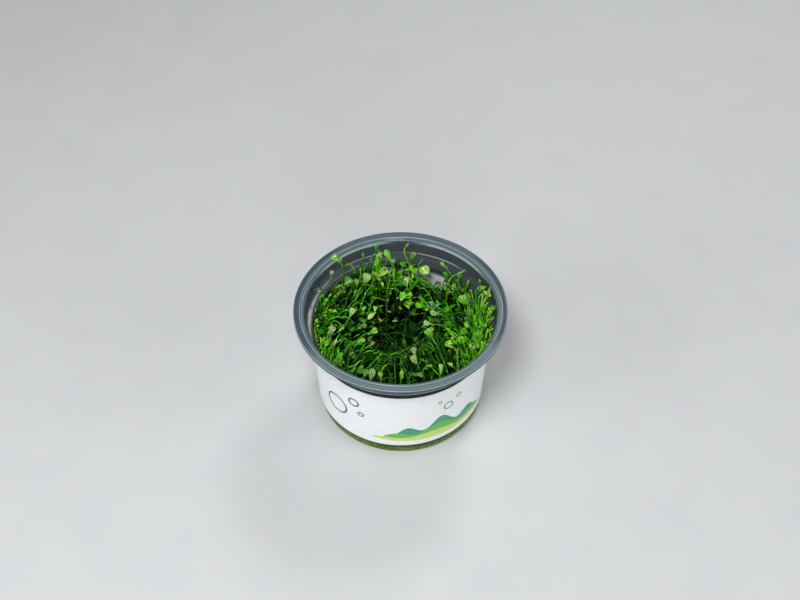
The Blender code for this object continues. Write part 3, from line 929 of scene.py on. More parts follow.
@dataclass(frozen=True)
class WrapLabel:
    """The printed strip round the wall, its ends lapped at the back, with a plain print on it."""

    cup: CultureCup
    name: str = "wrap_label"
    sides: int = 200
    rows: int = 10
    bottom: float = 6.7
    top: float = 45.0
    stand_off: float = 0.3
    thick: float = 0.25
    overlap: float = math.radians(12)
    seam: float = math.radians(90)
    lap_lift: float = 0.45
    sharp: float = 40.0
    ink: float = 0.04
    ink_sharp: float = 30.0
    column: float = 0.5
    ring_steps: int = 48

    def build(self) -> None:
        """Winds the strip round the wall, its last stretch lifted over its first, and prints it."""
        whole = math.tau + self.overlap
        heights = [self.bottom + (self.top - self.bottom) * k / self.rows for k in range(self.rows + 1)]
        rings = []
        for step in range(self.sides + 1):
            turn = whole * step / self.sides
            bearing = self.seam - self.overlap / 2 + turn
            foot = self.stand_off + self.lap_lift * eased(math.tau - self.overlap, math.tau, turn)
            outside = [polar(self.cup.wall_outer(z) + foot + self.thick, bearing, z) for z in heights]
            inside = [polar(self.cup.wall_outer(z) + foot, bearing, z) for z in reversed(heights)]
            rings.append(outside + inside)
        strip = Skin()
        strip.loft(rings)
        stand_for(show(self.name, strip.mesh(self.name), LABEL_FILM, self.sharp), "label_film", "label")
        for level, hill in enumerate(HILLS):
            self.print_hill(hill, level)
        for bubble in BUBBLES:
            self.print_bubble(bubble)

    def on_film(self, along: float, height: float, lift: float) -> Vector:
        """A point on the film: its arc from the front, its height and its lift off the film."""
        radius = self.cup.wall_outer(height) + self.stand_off + self.thick
        return polar(radius + lift, FRONT + along / self.cup.wall_outer(self.top / 2), height)

    def print_patch(
        self, name: str, edges: list[tuple[Span, Span]], closed: bool, ink: str, level: int = 0
    ) -> None:
        """Lays one printed shape on the film.

        Args:
            name: The piece's name.
            edges: Pairs of places (arc, height) on the shape's two edges, in order along it.
            closed: True if the last pair joins the first.
            ink: The name of its ink.
            level: How many layers of ink lie under it.
        """
        down, up = self.ink * (level + 0.5), self.ink * (level + 1.5)
        rings = []
        for low, high in edges:
            corners = ((low, down), (low, up), (high, up), (high, down))
            rings.append([self.on_film(*place, lift) for place, lift in corners])
        patch = Skin()
        patch.loft(rings, closed=closed)
        stand_for(show(name, patch.mesh(name), INKS[ink], self.ink_sharp), "label_film")

    def print_hill(self, hill: Hill, level: int) -> None:
        """Prints one layer of rolling hills.

        Args:
            hill: Its ink and sizes.
            level: How many layers of ink lie under it.
        """
        step, sag, crown, mean_crest, roll = 0.2, 1.6, 0.15, 0.72, 0.28
        edges = []
        count = round((hill.end - hill.start) / self.column)
        for k in range(count + 1):
            along = hill.start + (hill.end - hill.start) * k / count
            swell = math.sqrt(max(0.0, math.sin(math.pi * k / count)))
            crest = mean_crest + roll * math.sin(along / hill.wave * math.tau / 2 + hill.phase)
            low = hill.base + level * step - sag * swell
            edges.append(((along, low), (along, hill.base + crown + hill.rise * swell * crest)))
        self.print_patch(hill.name, edges, False, hill.ink, level)

    def print_bubble(self, bubble: Bubble) -> None:
        """Prints one ring.

        Args:
            bubble: Its ink and sizes.
        """
        edges = []
        for k in range(self.ring_steps):
            turn = k * math.tau / self.ring_steps
            edges.append(tuple(
                (bubble.along + reach * math.cos(turn), bubble.height + reach * math.sin(turn))
                for reach in (bubble.radius, bubble.radius - bubble.line)
            ))
        self.print_patch(bubble.name, edges, True, bubble.ink)


# Shared growth: guides for stems and roots, and blades


UNVEINED = 0.25
"""A place across a blade between two of its veins. All of a stem is given this place, so it shows none."""


class Guide(NamedTuple):
    """The middle line of a stem or root, with its radius and tone at each point."""

    points: list[Vector]
    radii: list[float]
    tones: list[float]


@dataclass(frozen=True)
class Growth:
    """A Geometry Nodes tree that gives every line or point of a mesh its body."""

    title: str
    own: str
    own_kind: str

    def bodies(self, tree: NodeTree, given: Any) -> Node:
        """Adds the nodes that make the bodies.

        Args:
            tree: The tree.
            given: The tree's inputs: "Geometry", its own one, and "Finish".

        Returns:
            The node that gives the bodies.
        """
        raise NotImplementedError

    def tree(self) -> NodeTree:
        """Builds the tree.

        Returns:
            The tree, which ends in plain faces of the given finish.
        """
        made = bpy.data.node_groups.new(self.title, "GeometryNodeTree")
        sockets = (
            ("Geometry", "INPUT", "Geometry"), (self.own, "INPUT", self.own_kind),
            ("Finish", "INPUT", "Material"), ("Geometry", "OUTPUT", "Geometry"),
        )
        for name, way, kind in sockets:
            made.interface.new_socket(name, in_out=way, socket_type=f"NodeSocket{kind}")
        given = add_node(made, "NodeGroupInput").outputs
        solid = add_node(made, "GeometryNodeRealizeInstances", {"Geometry": self.bodies(made, given)})
        dressed = add_node(
            made, "GeometryNodeSetMaterial", {"Geometry": solid, "Material": given["Finish"]},
        )
        add_node(made, "NodeGroupOutput", {"Geometry": dressed})
        return made

    def piece(self, name: str, mesh: Mesh, finish: Finish, value: Any) -> Object:
        """Runs the tree on a mesh and keeps the result as a plain piece.

        Args:
            name: The piece's name.
            mesh: The points or lines that the tree starts from.
            finish: What the piece is made of.
            value: What the tree's own input gets.

        Returns:
            The piece's object.
        """
        seed = bpy.data.objects.new(f"{name}_seed", mesh)
        bpy.context.scene.collection.objects.link(seed)
        modifier = seed.modifiers.new(self.title, "NODES")
        modifier.node_group = self.tree()
        values = {self.own: value, "Finish": finish.material()}
        for item in modifier.node_group.interface.items_tree:
            if item.in_out == "INPUT" and item.name in values:
                modifier[item.identifier] = values[item.name]
        graph = bpy.context.evaluated_depsgraph_get()
        result = bpy.data.meshes.new_from_object(seed.evaluated_get(graph))
        seed.modifiers.remove(modifier)
        bpy.data.objects.remove(seed)
        face_outwards(result)
        result.name = name
        return show(name, result, finish)


@dataclass(frozen=True)
class StemSweep(Growth):
    """Gives every guide its round body."""

    title: str = "stem sweep"
    own: str = "Sides"
    own_kind: str = "Int"

    def bodies(self, tree: NodeTree, given: Any) -> Node:
        """Sweeps a circle along every line.

        Args:
            tree: The tree.
            given: The tree's inputs.

        Returns:
            The node that gives the bodies.
        """
        lines = add_node(tree, "GeometryNodeMeshToCurve", {"Mesh": given["Geometry"]})
        section = add_node(
            tree, "GeometryNodeCurvePrimitiveCircle", {"Resolution": given[self.own], "Radius": 1.0},
        )
        radius = add_node(tree, "GeometryNodeInputNamedAttribute", {"Name": "stem_radius"})
        return add_node(tree, "GeometryNodeCurveToMesh", {
            "Curve": lines, "Profile Curve": section, "Scale": radius, "Fill Caps": True,
        })

    def grow(self, name: str, guides: Sequence[Guide], sides: int, finish: Finish) -> Object:
        """Sweeps all the guides into one piece.

        Args:
            name: The piece's name.
            guides: The middle lines.
            sides: How many sides a stem has.
            finish: What it is made of.

        Returns:
            The piece's object.
        """
        points, edges, radii, tones = [], [], [], []
        for guide in guides:
            start = len(points)
            points.extend(point * MM for point in guide.points)
            edges.extend((start + k, start + k + 1) for k in range(len(guide.points) - 1))
            radii.extend(radius * MM for radius in guide.radii)
            tones.extend(guide.tones)
        mesh = bpy.data.meshes.new(name)
        mesh.from_pydata(points, edges, [])
        mark(mesh, stem_radius=radii, tone=tones, across=[UNVEINED] * len(points))
        return self.piece(name, mesh, finish, sides)


def through_stops(stops: Sequence[Span], place: float) -> float:
    """Reads a smooth curve through (place, value) stops.

    Args:
        stops: The stops, in order of place.
        place: Where to read it.

    Returns:
        The value there.
    """
    k = 0
    while k < len(stops) - 2 and place > stops[k + 1][0]:
        k += 1
    before, start = stops[max(k - 1, 0)], stops[k]
    end, after = stops[k + 1], stops[min(k + 2, len(stops) - 1)]
    span = end[0] - start[0]
    leave = (end[1] - before[1]) / max(end[0] - before[0], 1e-6) * span
    arrive = (after[1] - start[1]) / max(after[0] - start[0], 1e-6) * span
    return flowing(start[1], leave, end[1], arrive, (place - start[0]) / span)


@dataclass(frozen=True)
class Shape:
    """A leaf's form in shares of its own length and half width."""

    outline: tuple[Span, ...]
    width: float
    cup: float
    fold: float
    bend: float
    lobes: int = 1


SPOON_EDGE = ((0.0, 0.12), (0.3, 0.36), (0.62, 0.84), (0.84, 1.0), (0.95, 0.78), (1.0, 0.34))
ROUND_EDGE = ((0.0, 0.14), (0.24, 0.6), (0.55, 1.0), (0.82, 0.9), (1.0, 0.24))
POINT_EDGE = ((0.0, 0.2), (0.35, 0.9), (0.55, 1.0), (0.8, 0.5), (1.0, 0.05))
FAN_EDGE = ((0.0, 0.1), (0.4, 0.5), (0.78, 1.0), (0.94, 0.85), (1.0, 0.5))


class Form(Enum):
    """The leaf forms of young water clover, from narrow first leaves to lobed ones."""

    SPOON = Shape(SPOON_EDGE, 0.66, 0.5, 0.16, 0.2)
    ROUND = Shape(ROUND_EDGE, 0.8, 0.5, 0.3, 0.16)
    CUPPED = Shape(ROUND_EDGE, 0.72, 0.85, 0.0, 0.34)
    SPATULA = Shape(SPOON_EDGE, 0.44, 0.4, 0.1, -0.12)
    FOLDED = Shape(ROUND_EDGE, 0.62, 0.1, 0.75, 0.06)
    CURLED = Shape(SPOON_EDGE, 0.6, 0.5, 0.0, -0.5)
    POINTED = Shape(POINT_EDGE, 0.36, 0.2, 0.2, 0.14)
    NARROW = Shape(POINT_EDGE, 0.2, 0.1, 0.0, 0.2)
    TWO_LOBED = Shape(FAN_EDGE, 0.8, 0.2, 0.0, 0.1, 2)
    FOUR_LOBED = Shape(FAN_EDGE, 0.72, 0.15, 0.0, 0.12, 4)


FORM_WEIGHTS = {
    Form.SPOON: 7, Form.ROUND: 4, Form.CUPPED: 5, Form.SPATULA: 9, Form.FOLDED: 5,
    Form.CURLED: 5, Form.POINTED: 7, Form.NARROW: 7, Form.TWO_LOBED: 1.2, Form.FOUR_LOBED: 0.6,
}
"""How often each form comes up in the crowd."""


@dataclass(frozen=True)
class Blade:
    """Sections of a leaf blade, each from its left edge over the top to the right and back underneath."""

    shape: Shape
    length: float
    width: float
    thick: float
    rows: int
    tops: int
    midrib: float = 0.16
    ripple: float = 0.0
    ripple_size: float = 2.2
    thinning: float = 0.6
    folding: float = 0.3
    lobe_lean: float = 0.25
    lobe_reach: float = 0.97

    def spots(self) -> list[tuple[float, int]]:
        """Each point of a section: its share across, and if it is on top (1), below (-1) or on an edge.

        Returns:
            The share and the side of each point, in order round the section.
        """
        across = [-1 + 2 * i / (self.tops - 1) for i in range(self.tops)]
        over = [(a, 1 if abs(a) < 1 else 0) for a in across]
        return over + [(a, -1) for a in reversed(across[1:-1])]

    def sections(
        self, neck: Vector, heading: Vector, normal: Vector, tones: Span
    ) -> tuple[list[Ring], Numbers]:
        """The blade's rings and the numbers on their points.

        Args:
            neck: Where the blade starts.
            heading: The way that it points.
            normal: The way that its face looks.
            tones: The tone at its neck and at its tip.

        Returns:
            The rings, and the "across" and "tone" of each point.
        """
        side = heading.cross(normal)
        rings, across, tone = [], [], []
        for row in range(self.rows + 1):
            along = row / self.rows
            half = self.width / 2 * through_stops(self.shape.outline, along)
            bend = self.shape.bend * self.length * along**2
            middle = neck + heading * self.length * along + normal * bend
            ring = []
            for share, face in self.spots():
                rise = half * (self.shape.cup * share**2 + (self.shape.fold + self.midrib) * abs(share))
                flesh = face * self.thick / 2 * (1 - self.thinning * along) * math.sqrt(1 - share**2)
                narrowed = half * share * (1 - self.folding * self.shape.fold)
                spot = middle + side * narrowed
                wave = self.ripple * abs(share) * noise.noise(spot / self.ripple_size)
                ring.append(spot + normal * (rise + flesh + wave))
            rings.append(ring)
            across.append([share for share, _ in self.spots()])
            tone.append([tones[0] + (tones[1] - tones[0]) * along] * len(ring))
        return rings, {"across": across, "tone": tone}

    def add_lobes(self, skin: Skin, neck: Vector, heading: Vector, normal: Vector, tones: Span) -> None:
        """Adds leaflets set round the stem's top, square on it.

        Args:
            skin: The mesh that gets them.
            neck: The stem's top.
            heading: The stem's way, which the leaflets' faces look along.
            normal: The way of the first leaflet.
            tones: The tone at a leaflet's foot and at its tip.
        """
        side = heading.cross(normal)
        for lobe in range(self.shape.lobes):
            turn = math.tau * lobe / self.shape.lobes
            way = (normal * math.cos(turn) + side * math.sin(turn)) * self.lobe_reach
            way = (way + heading * self.lobe_lean).normalized()
            skin.loft(*self.sections(neck, way, square_to(heading, way), tones))


# Roots


@dataclass(frozen=True)
class RootMat:
    """The disc of jelly and roots at the bottom of the cup, with single roots pressed against the wall."""

    cup: CultureCup
    name: str = "root_mat_gel"
    bottom: float = 2.0
    top: float = 8.5
    side_gap: float = 0.35
    chamfer: float = 0.9
    sides: int = 160
    steps: int = 8
    top_rings: tuple[float, ...] = (0.97, 0.9, 0.75, 0.6, 0.45, 0.3, 0.15, 0.04)
    lump: float = 0.22
    lump_size: float = 2.4
    strands: int = 300
    strand_points: int = 12
    strand_sides: int = 5
    strand_radius: float = 0.17
    strand_gap: float = 0.12
    strand_top: float = 0.4
    strand_bottom: float = 0.25
    most_climb: float = 0.35
    seed: int = 11

    def build(self) -> None:
        """Builds the jelly and then the roots."""
        edge = self.cup.wall_inner(self.cup.floor_top) - self.side_gap
        section = [(edge - self.chamfer, self.bottom)]
        for k in range(self.steps + 1):
            height = self.bottom + self.chamfer + (self.top - self.bottom - self.chamfer) * k / self.steps
            section.append((edge, height))
        section.extend((edge * share, self.top) for share in self.top_rings)
        rings = []
        for radius, height in section:
            ring = []
            for i in range(self.sides):
                spot = polar(radius, i * math.tau / self.sides, height)
                ring.append(spot - spot.normalized() * self.lump * (1 + noise.noise(spot / self.lump_size)))
            rings.append(ring)
        gel = Skin()
        gel.loft(rings)
        stand_for(show(self.name, gel.mesh(self.name), ROOT_GEL), "root_gel", "root_mat")
        roots = StemSweep("root sweep").grow("wall_roots", list(self.guides()), self.strand_sides, ROOT_SKIN)
        stand_for(roots, "root_gel")

    def guides(self) -> Iterator[Guide]:
        """Roots that wander round the inside of the wall, rising and falling a little.

        Yields:
            The guide of each root.
        """
        draw = random.Random(self.seed)
        for _ in range(self.strands):
            bearing = draw.uniform(0, math.tau)
            height = draw.uniform(self.bottom + 0.3, self.top)
            turn = draw.choice((-1, 1)) * draw.uniform(0.004, 0.05)
            slope = draw.uniform(-0.5, 0.5)
            thick = self.strand_radius * draw.uniform(0.5, 1.25)
            tone = draw.random()
            points = []
            for _ in range(self.strand_points):
                radius = self.cup.wall_inner(height) - self.strand_gap - thick - draw.uniform(0, 0.1)
                points.append(polar(radius, bearing, height))
                bearing += turn
                slope += draw.uniform(-self.most_climb, self.most_climb)
                height = max(self.bottom + self.strand_bottom, height + slope)
                height = min(self.top + self.strand_top, height)
            yield Guide(points, [thick] * self.strand_points, [tone] * self.strand_points)


# The crowd of stems and leaves


class Leaf(NamedTuple):
    """One leaf of the crowd."""

    place: Vector
    heading: Vector
    face: Vector
    size: float
    form: int
    tone: float


@dataclass(frozen=True)
class LeafScatter(Growth):
    """Puts a leaf of the right form, size and way on every point."""

    title: str = "leaf scatter"
    own: str = "Forms"
    own_kind: str = "Collection"

    def bodies(self, tree: NodeTree, given: Any) -> Node:
        """Sets one of the forms on every point.

        Args:
            tree: The tree.
            given: The tree's inputs.

        Returns:
            The node that gives the leaves.
        """
        forms = add_node(tree, "GeometryNodeCollectionInfo", {
            "Collection": given[self.own], "Separate Children": True, "Reset Children": True,
        })
        kinds = (("form", "INT"), ("heading", "FLOAT_VECTOR"), ("face", "FLOAT_VECTOR"), ("size", "FLOAT"))
        form, heading, face, size = (
            add_node(tree, "GeometryNodeInputNamedAttribute", {"Name": name}, data_type=kind)
            for name, kind in kinds
        )
        turned = add_node(
            tree, "FunctionNodeAxesToRotation", {"Primary Axis": heading, "Secondary Axis": face},
            primary_axis="Y", secondary_axis="Z",
        )
        return add_node(tree, "GeometryNodeInstanceOnPoints", {
            "Points": given["Geometry"], "Instance": forms, "Pick Instance": True, "Instance Index": form,
            "Rotation": turned, "Scale": size,
        })

    def scatter(self, name: str, leaves: Sequence[Leaf], finish: Finish) -> Object:
        """Turns a list of leaves into one piece.

        Args:
            name: The piece's name.
            leaves: The leaves.
            finish: What they are made of.

        Returns:
            The piece's object.
        """
        thick, forward = 0.07, Vector((0, 1, 0))
        forms = bpy.data.collections.new("leaf forms")
        for number, form in enumerate(Form):
            shape = form.value
            rows, tops = (3, 4) if shape.lobes > 1 else (6, 6)
            blade = Blade(shape, 1.0, shape.width, thick, rows, tops)
            skin = Skin()
            if shape.lobes > 1:
                blade.add_lobes(skin, Vector(), forward, UP, (0, 0))
            else:
                skin.loft(*blade.sections(Vector(), forward, UP, (0, 0)))
            del skin.numbers["tone"]
            title = f"form_{number:02d}"
            forms.objects.link(bpy.data.objects.new(title, skin.mesh(title)))
        mesh = bpy.data.meshes.new(name)
        mesh.from_pydata([leaf.place * MM for leaf in leaves], [], [])
        headings = [c for leaf in leaves for c in leaf.heading]
        mark(mesh, "FLOAT_VECTOR", heading=headings, face=[c for leaf in leaves for c in leaf.face])
        mark(mesh, "INT", form=[leaf.form for leaf in leaves])
        mark(mesh, size=[leaf.size for leaf in leaves], tone=[leaf.tone for leaf in leaves])
        piece = self.piece(name, mesh, finish, forms)
        for pattern in list(forms.objects):
            bpy.data.objects.remove(pattern)
        bpy.data.collections.remove(forms)
        return piece


class Layer(NamedTuple):
    """One population of the crowd, with the ranges that its plants are drawn from.

    Radii and heights are the tip's. A height is over the solid foliage's top where on_top is true, and over
    the bench where it isn't. A plant leans in from the wall by leans, and back from the camera by drift.
    """

    count: int
    inner: float
    outer: float
    first: float
    last: float
    heights: Span
    leans: Span
    flat: float
    leaf_share: float
    # Lifts the population's tone, or lowers it; lowered in the mat, the hollow and the front fringe as
    # painted shade.
    brighter: float
    on_top: bool
    drift: float = 0.0
    thickness: float = 1.0


LAYERS = (
    Layer(400, 0.0, 39.0, -75, 190, (-9.0, 0.8), (4.0, 14.0), 0.9, 0.55, -0.1, True),
    Layer(160, 8.0, 39.0, 190, 285, (-10.0, -2.0), (4.0, 14.0), 0.9, 0.3, -0.4, True),
    Layer(56, 0.0, 19.0, -180, 180, (-6.0, 0.0), (14.0, 26.0), 1.8, 0.2, -0.16, True),
    Layer(50, 12.0, 32.0, 180, 285, (-1.0, 4.0), (14.0, 24.0), 1.7, 0.4, 0.2, True),
    Layer(70, 14.0, 35.0, -75, 30, (-1.0, 5.0), (8.0, 16.0), 1.2, 0.35, 0.06, True, 16.0, 1.0),
    Layer(64, 12.0, 30.0, 40, 180, (-3.0, 3.0), (6.0, 14.0), 1.4, 0.6, 0.08, True),
    Layer(44, 35.0, 41.6, -46, 28, (44.0, 51.0), (0.5, 5.0), 0.3, 0.2, 0.16, False, 22.0),
    Layer(30, 41.0, 44.6, -40, 24, (51.0, 57.5), (0.5, 3.0), 0.2, 0.12, 0.28, False, 24.0),
    Layer(44, 33.0, 41.0, 28, 54, (43.0, 50.0), (3.0, 9.0), 0.5, 0.5, 0.05, False),
    Layer(30, 33.0, 40.5, 54, 80, (35.5, 40.5), (3.0, 9.0), 0.5, 0.5, 0.05, False),
    Layer(110, 30.0, 41.0, 80, 150, (44.0, 52.5), (2.0, 8.0), 0.6, 0.6, 0.08, False),
    Layer(74, 34.0, 41.4, 150, 190, (45.0, 53.0), (2.0, 8.0), 0.5, 0.55, 0.08, False),
    Layer(76, 33.5, 41.6, 190, 236, (43.5, 51.5), (0.5, 5.0), 0.3, 0.25, 0.3, False, 14.0, 1.15),
    Layer(54, 31.0, 40.5, 236, 306, (37.5, 42.0), (3.0, 12.0), 1.0, 0.45, -0.4, False),
)
"""The mat, the strands across the hollow, the plants that lean over it, then the fringe along the wall."""


class Runner(NamedTuple):
    """One population of stems that lie over the crowd: where their middles are, half lengths and ways.

    A stem's middle is over the solid foliage's top by lifts, and its far end is higher by twice the slope.
    """

    count: int
    radii: Span
    bearings: Span
    reaches: Span
    ways: Span
    lifts: Span
    slope: float
    slack: float
    thick: float
    tones: Span


RUNNERS = (
    Runner(24, (0, 19), (-180, 180), (6, 15), (-180, 180), (0.5, 4.0), 0, 0.6, 0.2, (0.36, 0.8)),
    Runner(12, (26, 33), (68, 102), (5, 9), (-14, 14), (3.0, 7.5), 0, 0.5, 0.34, (0.6, 0.84)),
    Runner(16, (22, 36), (15, 60), (5, 9), (100, 150), (1.5, 6.0), 1, 0.5, 0.36, (0.5, 0.8)),
    Runner(14, (22, 35), (125, 175), (5, 9), (20, 65), (1.5, 5.0), 1, 0.4, 0.34, (0.5, 0.84)),
    Runner(54, (12, 37), (192, 256), (3.5, 8), (34, 62), (1.0, 5.0), 3.4, 0.14, 0.24, (0.26, 0.92)),
    Runner(24, (14, 36), (252, 305), (3, 6), (40, 140), (0.5, 3.0), 3.0, 0.2, 0.25, (0.26, 0.9)),
    Runner(36, (16, 37), (-58, -8), (4, 9), (108, 138), (1.0, 5.0), 3.4, 0.16, 0.28, (0.26, 0.92)),
    Runner(44, (34, 41), (-38, 24), (7, 13), (86, 114), (2.0, 6.0), 2.6, 0.12, 0.28, (0.46, 1.0)),
)
"""Thin strands over the hollow, stems at the back and sides, then those in front and by the right wall."""


CROWD_SEED = 5


class CrowdTop:
    """The top of the CAD model's solid foliage."""

    bare: float = 40.0
    over_all: float = 200.0

    def __init__(self) -> None:
        """Makes the solid ready to be measured."""
        mesh = frame["nodes"]["foliage"].data
        points = [vertex.co / MM for vertex in mesh.vertices]
        self.tree = BVHTree.FromPolygons(points, [tuple(face.vertices) for face in mesh.polygons])

    def over(self, spot: Vector) -> float:
        """The top's height at a place, found from above."""
        hit = self.tree.ray_cast(Vector((spot.x, spot.y, self.over_all)), -UP)[0]
        return hit.z if hit else self.bare


@dataclass(frozen=True)
class FoliageCrowd:
    """Hundreds of stems that rise from the root mat and lean in from the wall, and their leaves."""

    cup: CultureCup
    top: CrowdTop
    draw: random.Random
    stem_points: int = 11
    stem_sides: int = 6
    foot_z: float = 7.6
    spread: float = 39.4
    foot_spread: float = 37.6
    stem_radius: float = 0.42
    low_leaves: int = 620
    low_depths: Span = (2.5, 10.0)
    crown_leaves: int = 110
    low_tones: Span = (0.4, 0.8)
    crown_bearings: Span = (-0.35, math.pi + 0.6)
    crown_tones: Span = (0.5, 0.86)
    crown_radii: Span = (18, 39)
    crown_rises: Span = (-0.5, 3.5)
    leaf_room: float = 2.5
    leaf_sizes: Triple = (2.2, 6.2, 3.4)
    dead_from: float = 0.985
    pale_from: float = 0.945
    bunch_top: Triple = (-11.6, 37.0, 57.6)
    bunch_foot_z: float = 34.0
    bunch_stems: int = 5
    bunch_radius: float = 0.36
    edge_gap: float = 0.3
    leaf_gap: float = 1.6
    dark_depth: float = 8.0
    deepest: float = 0.06
    golden: float = 0.6180339887
    near_axis: float = 14.0
    straying: float = 2.6
    drift_shares: Span = (0.3, 1.0)
    flat_shares: Span = (0.5, 1.0)
    tip_straying: float = 0.25
    tip_rises: Span = (0.45, 1)
    sway: float = 1.0
    stem_sizes: Span = (0.7, 1.15)
    brighter_shares: Span = (0.4, 1.0)
    foot_swell: float = 1.12
    taper: float = 0.42
    tip_reach: float = 0.8
    brightest: float = 0.93
    brightest_stem: float = 0.87
    brightest_leaf: float = 0.88
    pale_tone: float = 0.94
    leaf_tones: Span = (0.85, 1.25)

    def held_in(self, spot: Vector, radius: float) -> Vector:
        """A point moved in from the wall if it would stand in it.

        Args:
            spot: The point.
            radius: The radius of the stem there.

        Returns:
            The point, or one nearer the axis.
        """
        most = self.cup.room(spot.z) - radius - self.edge_gap
        away = math.hypot(spot.x, spot.y)
        if away > most:
            return Vector((spot.x * most / away, spot.y * most / away, spot.z))
        return spot

    def turned_in(self, place: Vector, heading: Vector, reach: float) -> Vector:
        """A leaf's way, turned from the wall until its far end is clear of it.

        Args:
            place: Where the leaf starts.
            heading: Its way.
            reach: Its length.

        Returns:
            The new way.
        """
        step, outward = 0.15, Vector((place.x, place.y, 0)).normalized()
        end = place + heading * reach
        while math.hypot(end.x, end.y) > self.cup.room(end.z) - self.leaf_gap:
            heading = (heading - outward * step).normalized()
            end = place + heading * reach
        return heading

    def build(self) -> None:
        """Grows the stems, then sets the leaves on them."""
        guides, leaves = [], []
        for layer in LAYERS:
            for i in range(layer.count):
                guide, heading = self.stem(self.tip(layer, i), layer)
                guides.append(guide)
                if self.draw.random() < layer.leaf_share:
                    leaves.append(self.leaf(guide.points[-1], heading, guide.tones[-1]))
        leaves.extend(self.low_leaf() for _ in range(self.low_leaves))
        leaves.extend(self.crown_leaf() for _ in range(self.crown_leaves))
        guides.extend(self.bunched(i) for i in range(self.bunch_stems))
        guides.extend(self.lying(runner) for runner in RUNNERS for _ in range(runner.count))
        stems = StemSweep().grow("crowd_stems", guides, self.stem_sides, CROWD_LEAF)
        stand_for(stems, "leaf_crowd", "foliage")
        stand_for(LeafScatter().scatter("crowd_leaves", leaves, CROWD_LEAF), "leaf_crowd", "foliage")

    def tip(self, layer: Layer, number: int) -> Vector:
        """Where the tip of one of a layer's plants is, spread evenly over its ring.

        Args:
            layer: The population.
            number: Which of its plants.

        Returns:
            The tip's place, inside the cup.
        """
        share = (number + self.draw.random()) / layer.count
        radius = math.sqrt(layer.inner**2 + (layer.outer**2 - layer.inner**2) * share)
        bearing = math.radians(layer.first + (layer.last - layer.first) * (number * self.golden % 1))
        spot = polar(radius, bearing, self.draw.uniform(*layer.heights))
        if layer.on_top:
            spot.z += self.top.over(spot)
        return self.held_in(spot, self.stem_radius)

    def low_leaf(self) -> Leaf:
        """One of the leaves that fill the dark between the stems.

        Returns:
            The leaf.
        """
        radius = self.spread * math.sqrt(self.draw.random())
        spot = polar(radius, self.draw.uniform(0, math.tau), 0)
        spot.z = self.top.over(spot) - self.draw.uniform(*self.low_depths)
        heading = Vector((self.draw.gauss(0, 1), self.draw.gauss(0, 1), self.draw.uniform(0, 1)))
        # Painted shade: darker near the axis, in the hollow, and in the front.
        outer, front_shading = 0.5 + 0.5 * eased(10, 24, radius), 0.6
        tone = self.draw.uniform(*self.low_tones) * outer * self.shade(spot)
        tone *= 1 - front_shading * self.front_painted_shade(spot)
        return self.leaf(self.held_in(spot, self.leaf_room), heading.normalized(), tone)

    def crown_leaf(self) -> Leaf:
        """One of the bright leaves on top at the back.

        Returns:
            The leaf.
        """
        bearing = self.draw.uniform(*self.crown_bearings)
        spot = polar(self.draw.uniform(*self.crown_radii), bearing, 0)
        spot.z = self.top.over(spot) + self.draw.uniform(*self.crown_rises)
        heading = Vector((self.draw.gauss(0, 1), self.draw.gauss(-0.4, 1), self.draw.uniform(-0.2, 0.8)))
        place = self.held_in(spot, self.leaf_room)
        return self.leaf(place, heading.normalized(), self.draw.uniform(*self.crown_tones))

    def shade(self, spot: Vector) -> float:
        """How much of the light reaches a point: all of it at the crowd's top, and little some mm below."""
        lit = eased(-self.dark_depth, 0.5, spot.z - self.top.over(spot)) ** 1.5
        return self.deepest + (1 - self.deepest) * lit

    def stem(self, spot: Vector, layer: Layer) -> tuple[Guide, Vector]:
        """Routes one stem from its foot to its tip.

        Args:
            spot: The tip's place.
            layer: The population that the plant belongs to.

        Returns:
            The stem's guide, and its way at the tip.
        """
        draw = self.draw
        away = math.hypot(spot.x, spot.y)
        outward = Vector((spot.x, spot.y, 0)) / max(away, 1e-3)
        if away < self.near_axis:
            outward = polar(1, draw.uniform(0, math.tau), 0)
        tip = self.held_in(spot, self.stem_radius)
        sideways = Vector((-outward.y, outward.x, 0)) * draw.gauss(0, self.straying)
        foot = Vector((tip.x, tip.y, self.foot_z)) + outward * draw.uniform(*layer.leans) + sideways
        foot.y -= draw.uniform(*self.drift_shares) * layer.drift
        reach = math.hypot(foot.x, foot.y)
        if reach > self.foot_spread:
            foot.x *= self.foot_spread / reach
            foot.y *= self.foot_spread / reach
        inward = -outward * draw.uniform(*self.flat_shares) * layer.flat
        stray = self.tip_straying
        heading = inward + Vector((draw.gauss(0, stray), draw.gauss(0, stray), draw.uniform(*self.tip_rises)))
        heading.normalize()
        length = (tip - foot).length
        sway = Vector((draw.gauss(0, self.sway), draw.gauss(0, self.sway), 0))
        thick = self.stem_radius * draw.uniform(*self.stem_sizes) * layer.thickness
        tone = self.tone_at(tip) + layer.brighter * draw.uniform(*self.brighter_shares)
        points, radii, tones = [], [], []
        for k in range(self.stem_points):
            t = k / (self.stem_points - 1)
            body = flowing(foot, UP * length, tip, heading * length * self.tip_reach, t)
            body += sway * math.sin(math.pi * t) * t
            points.append(self.held_in(body, thick))
            radii.append(thick * (self.foot_swell - self.taper * t))
            tones.append(min(self.brightest_stem, tone) * self.shade(points[-1]))
        return Guide(points, radii, tones), heading

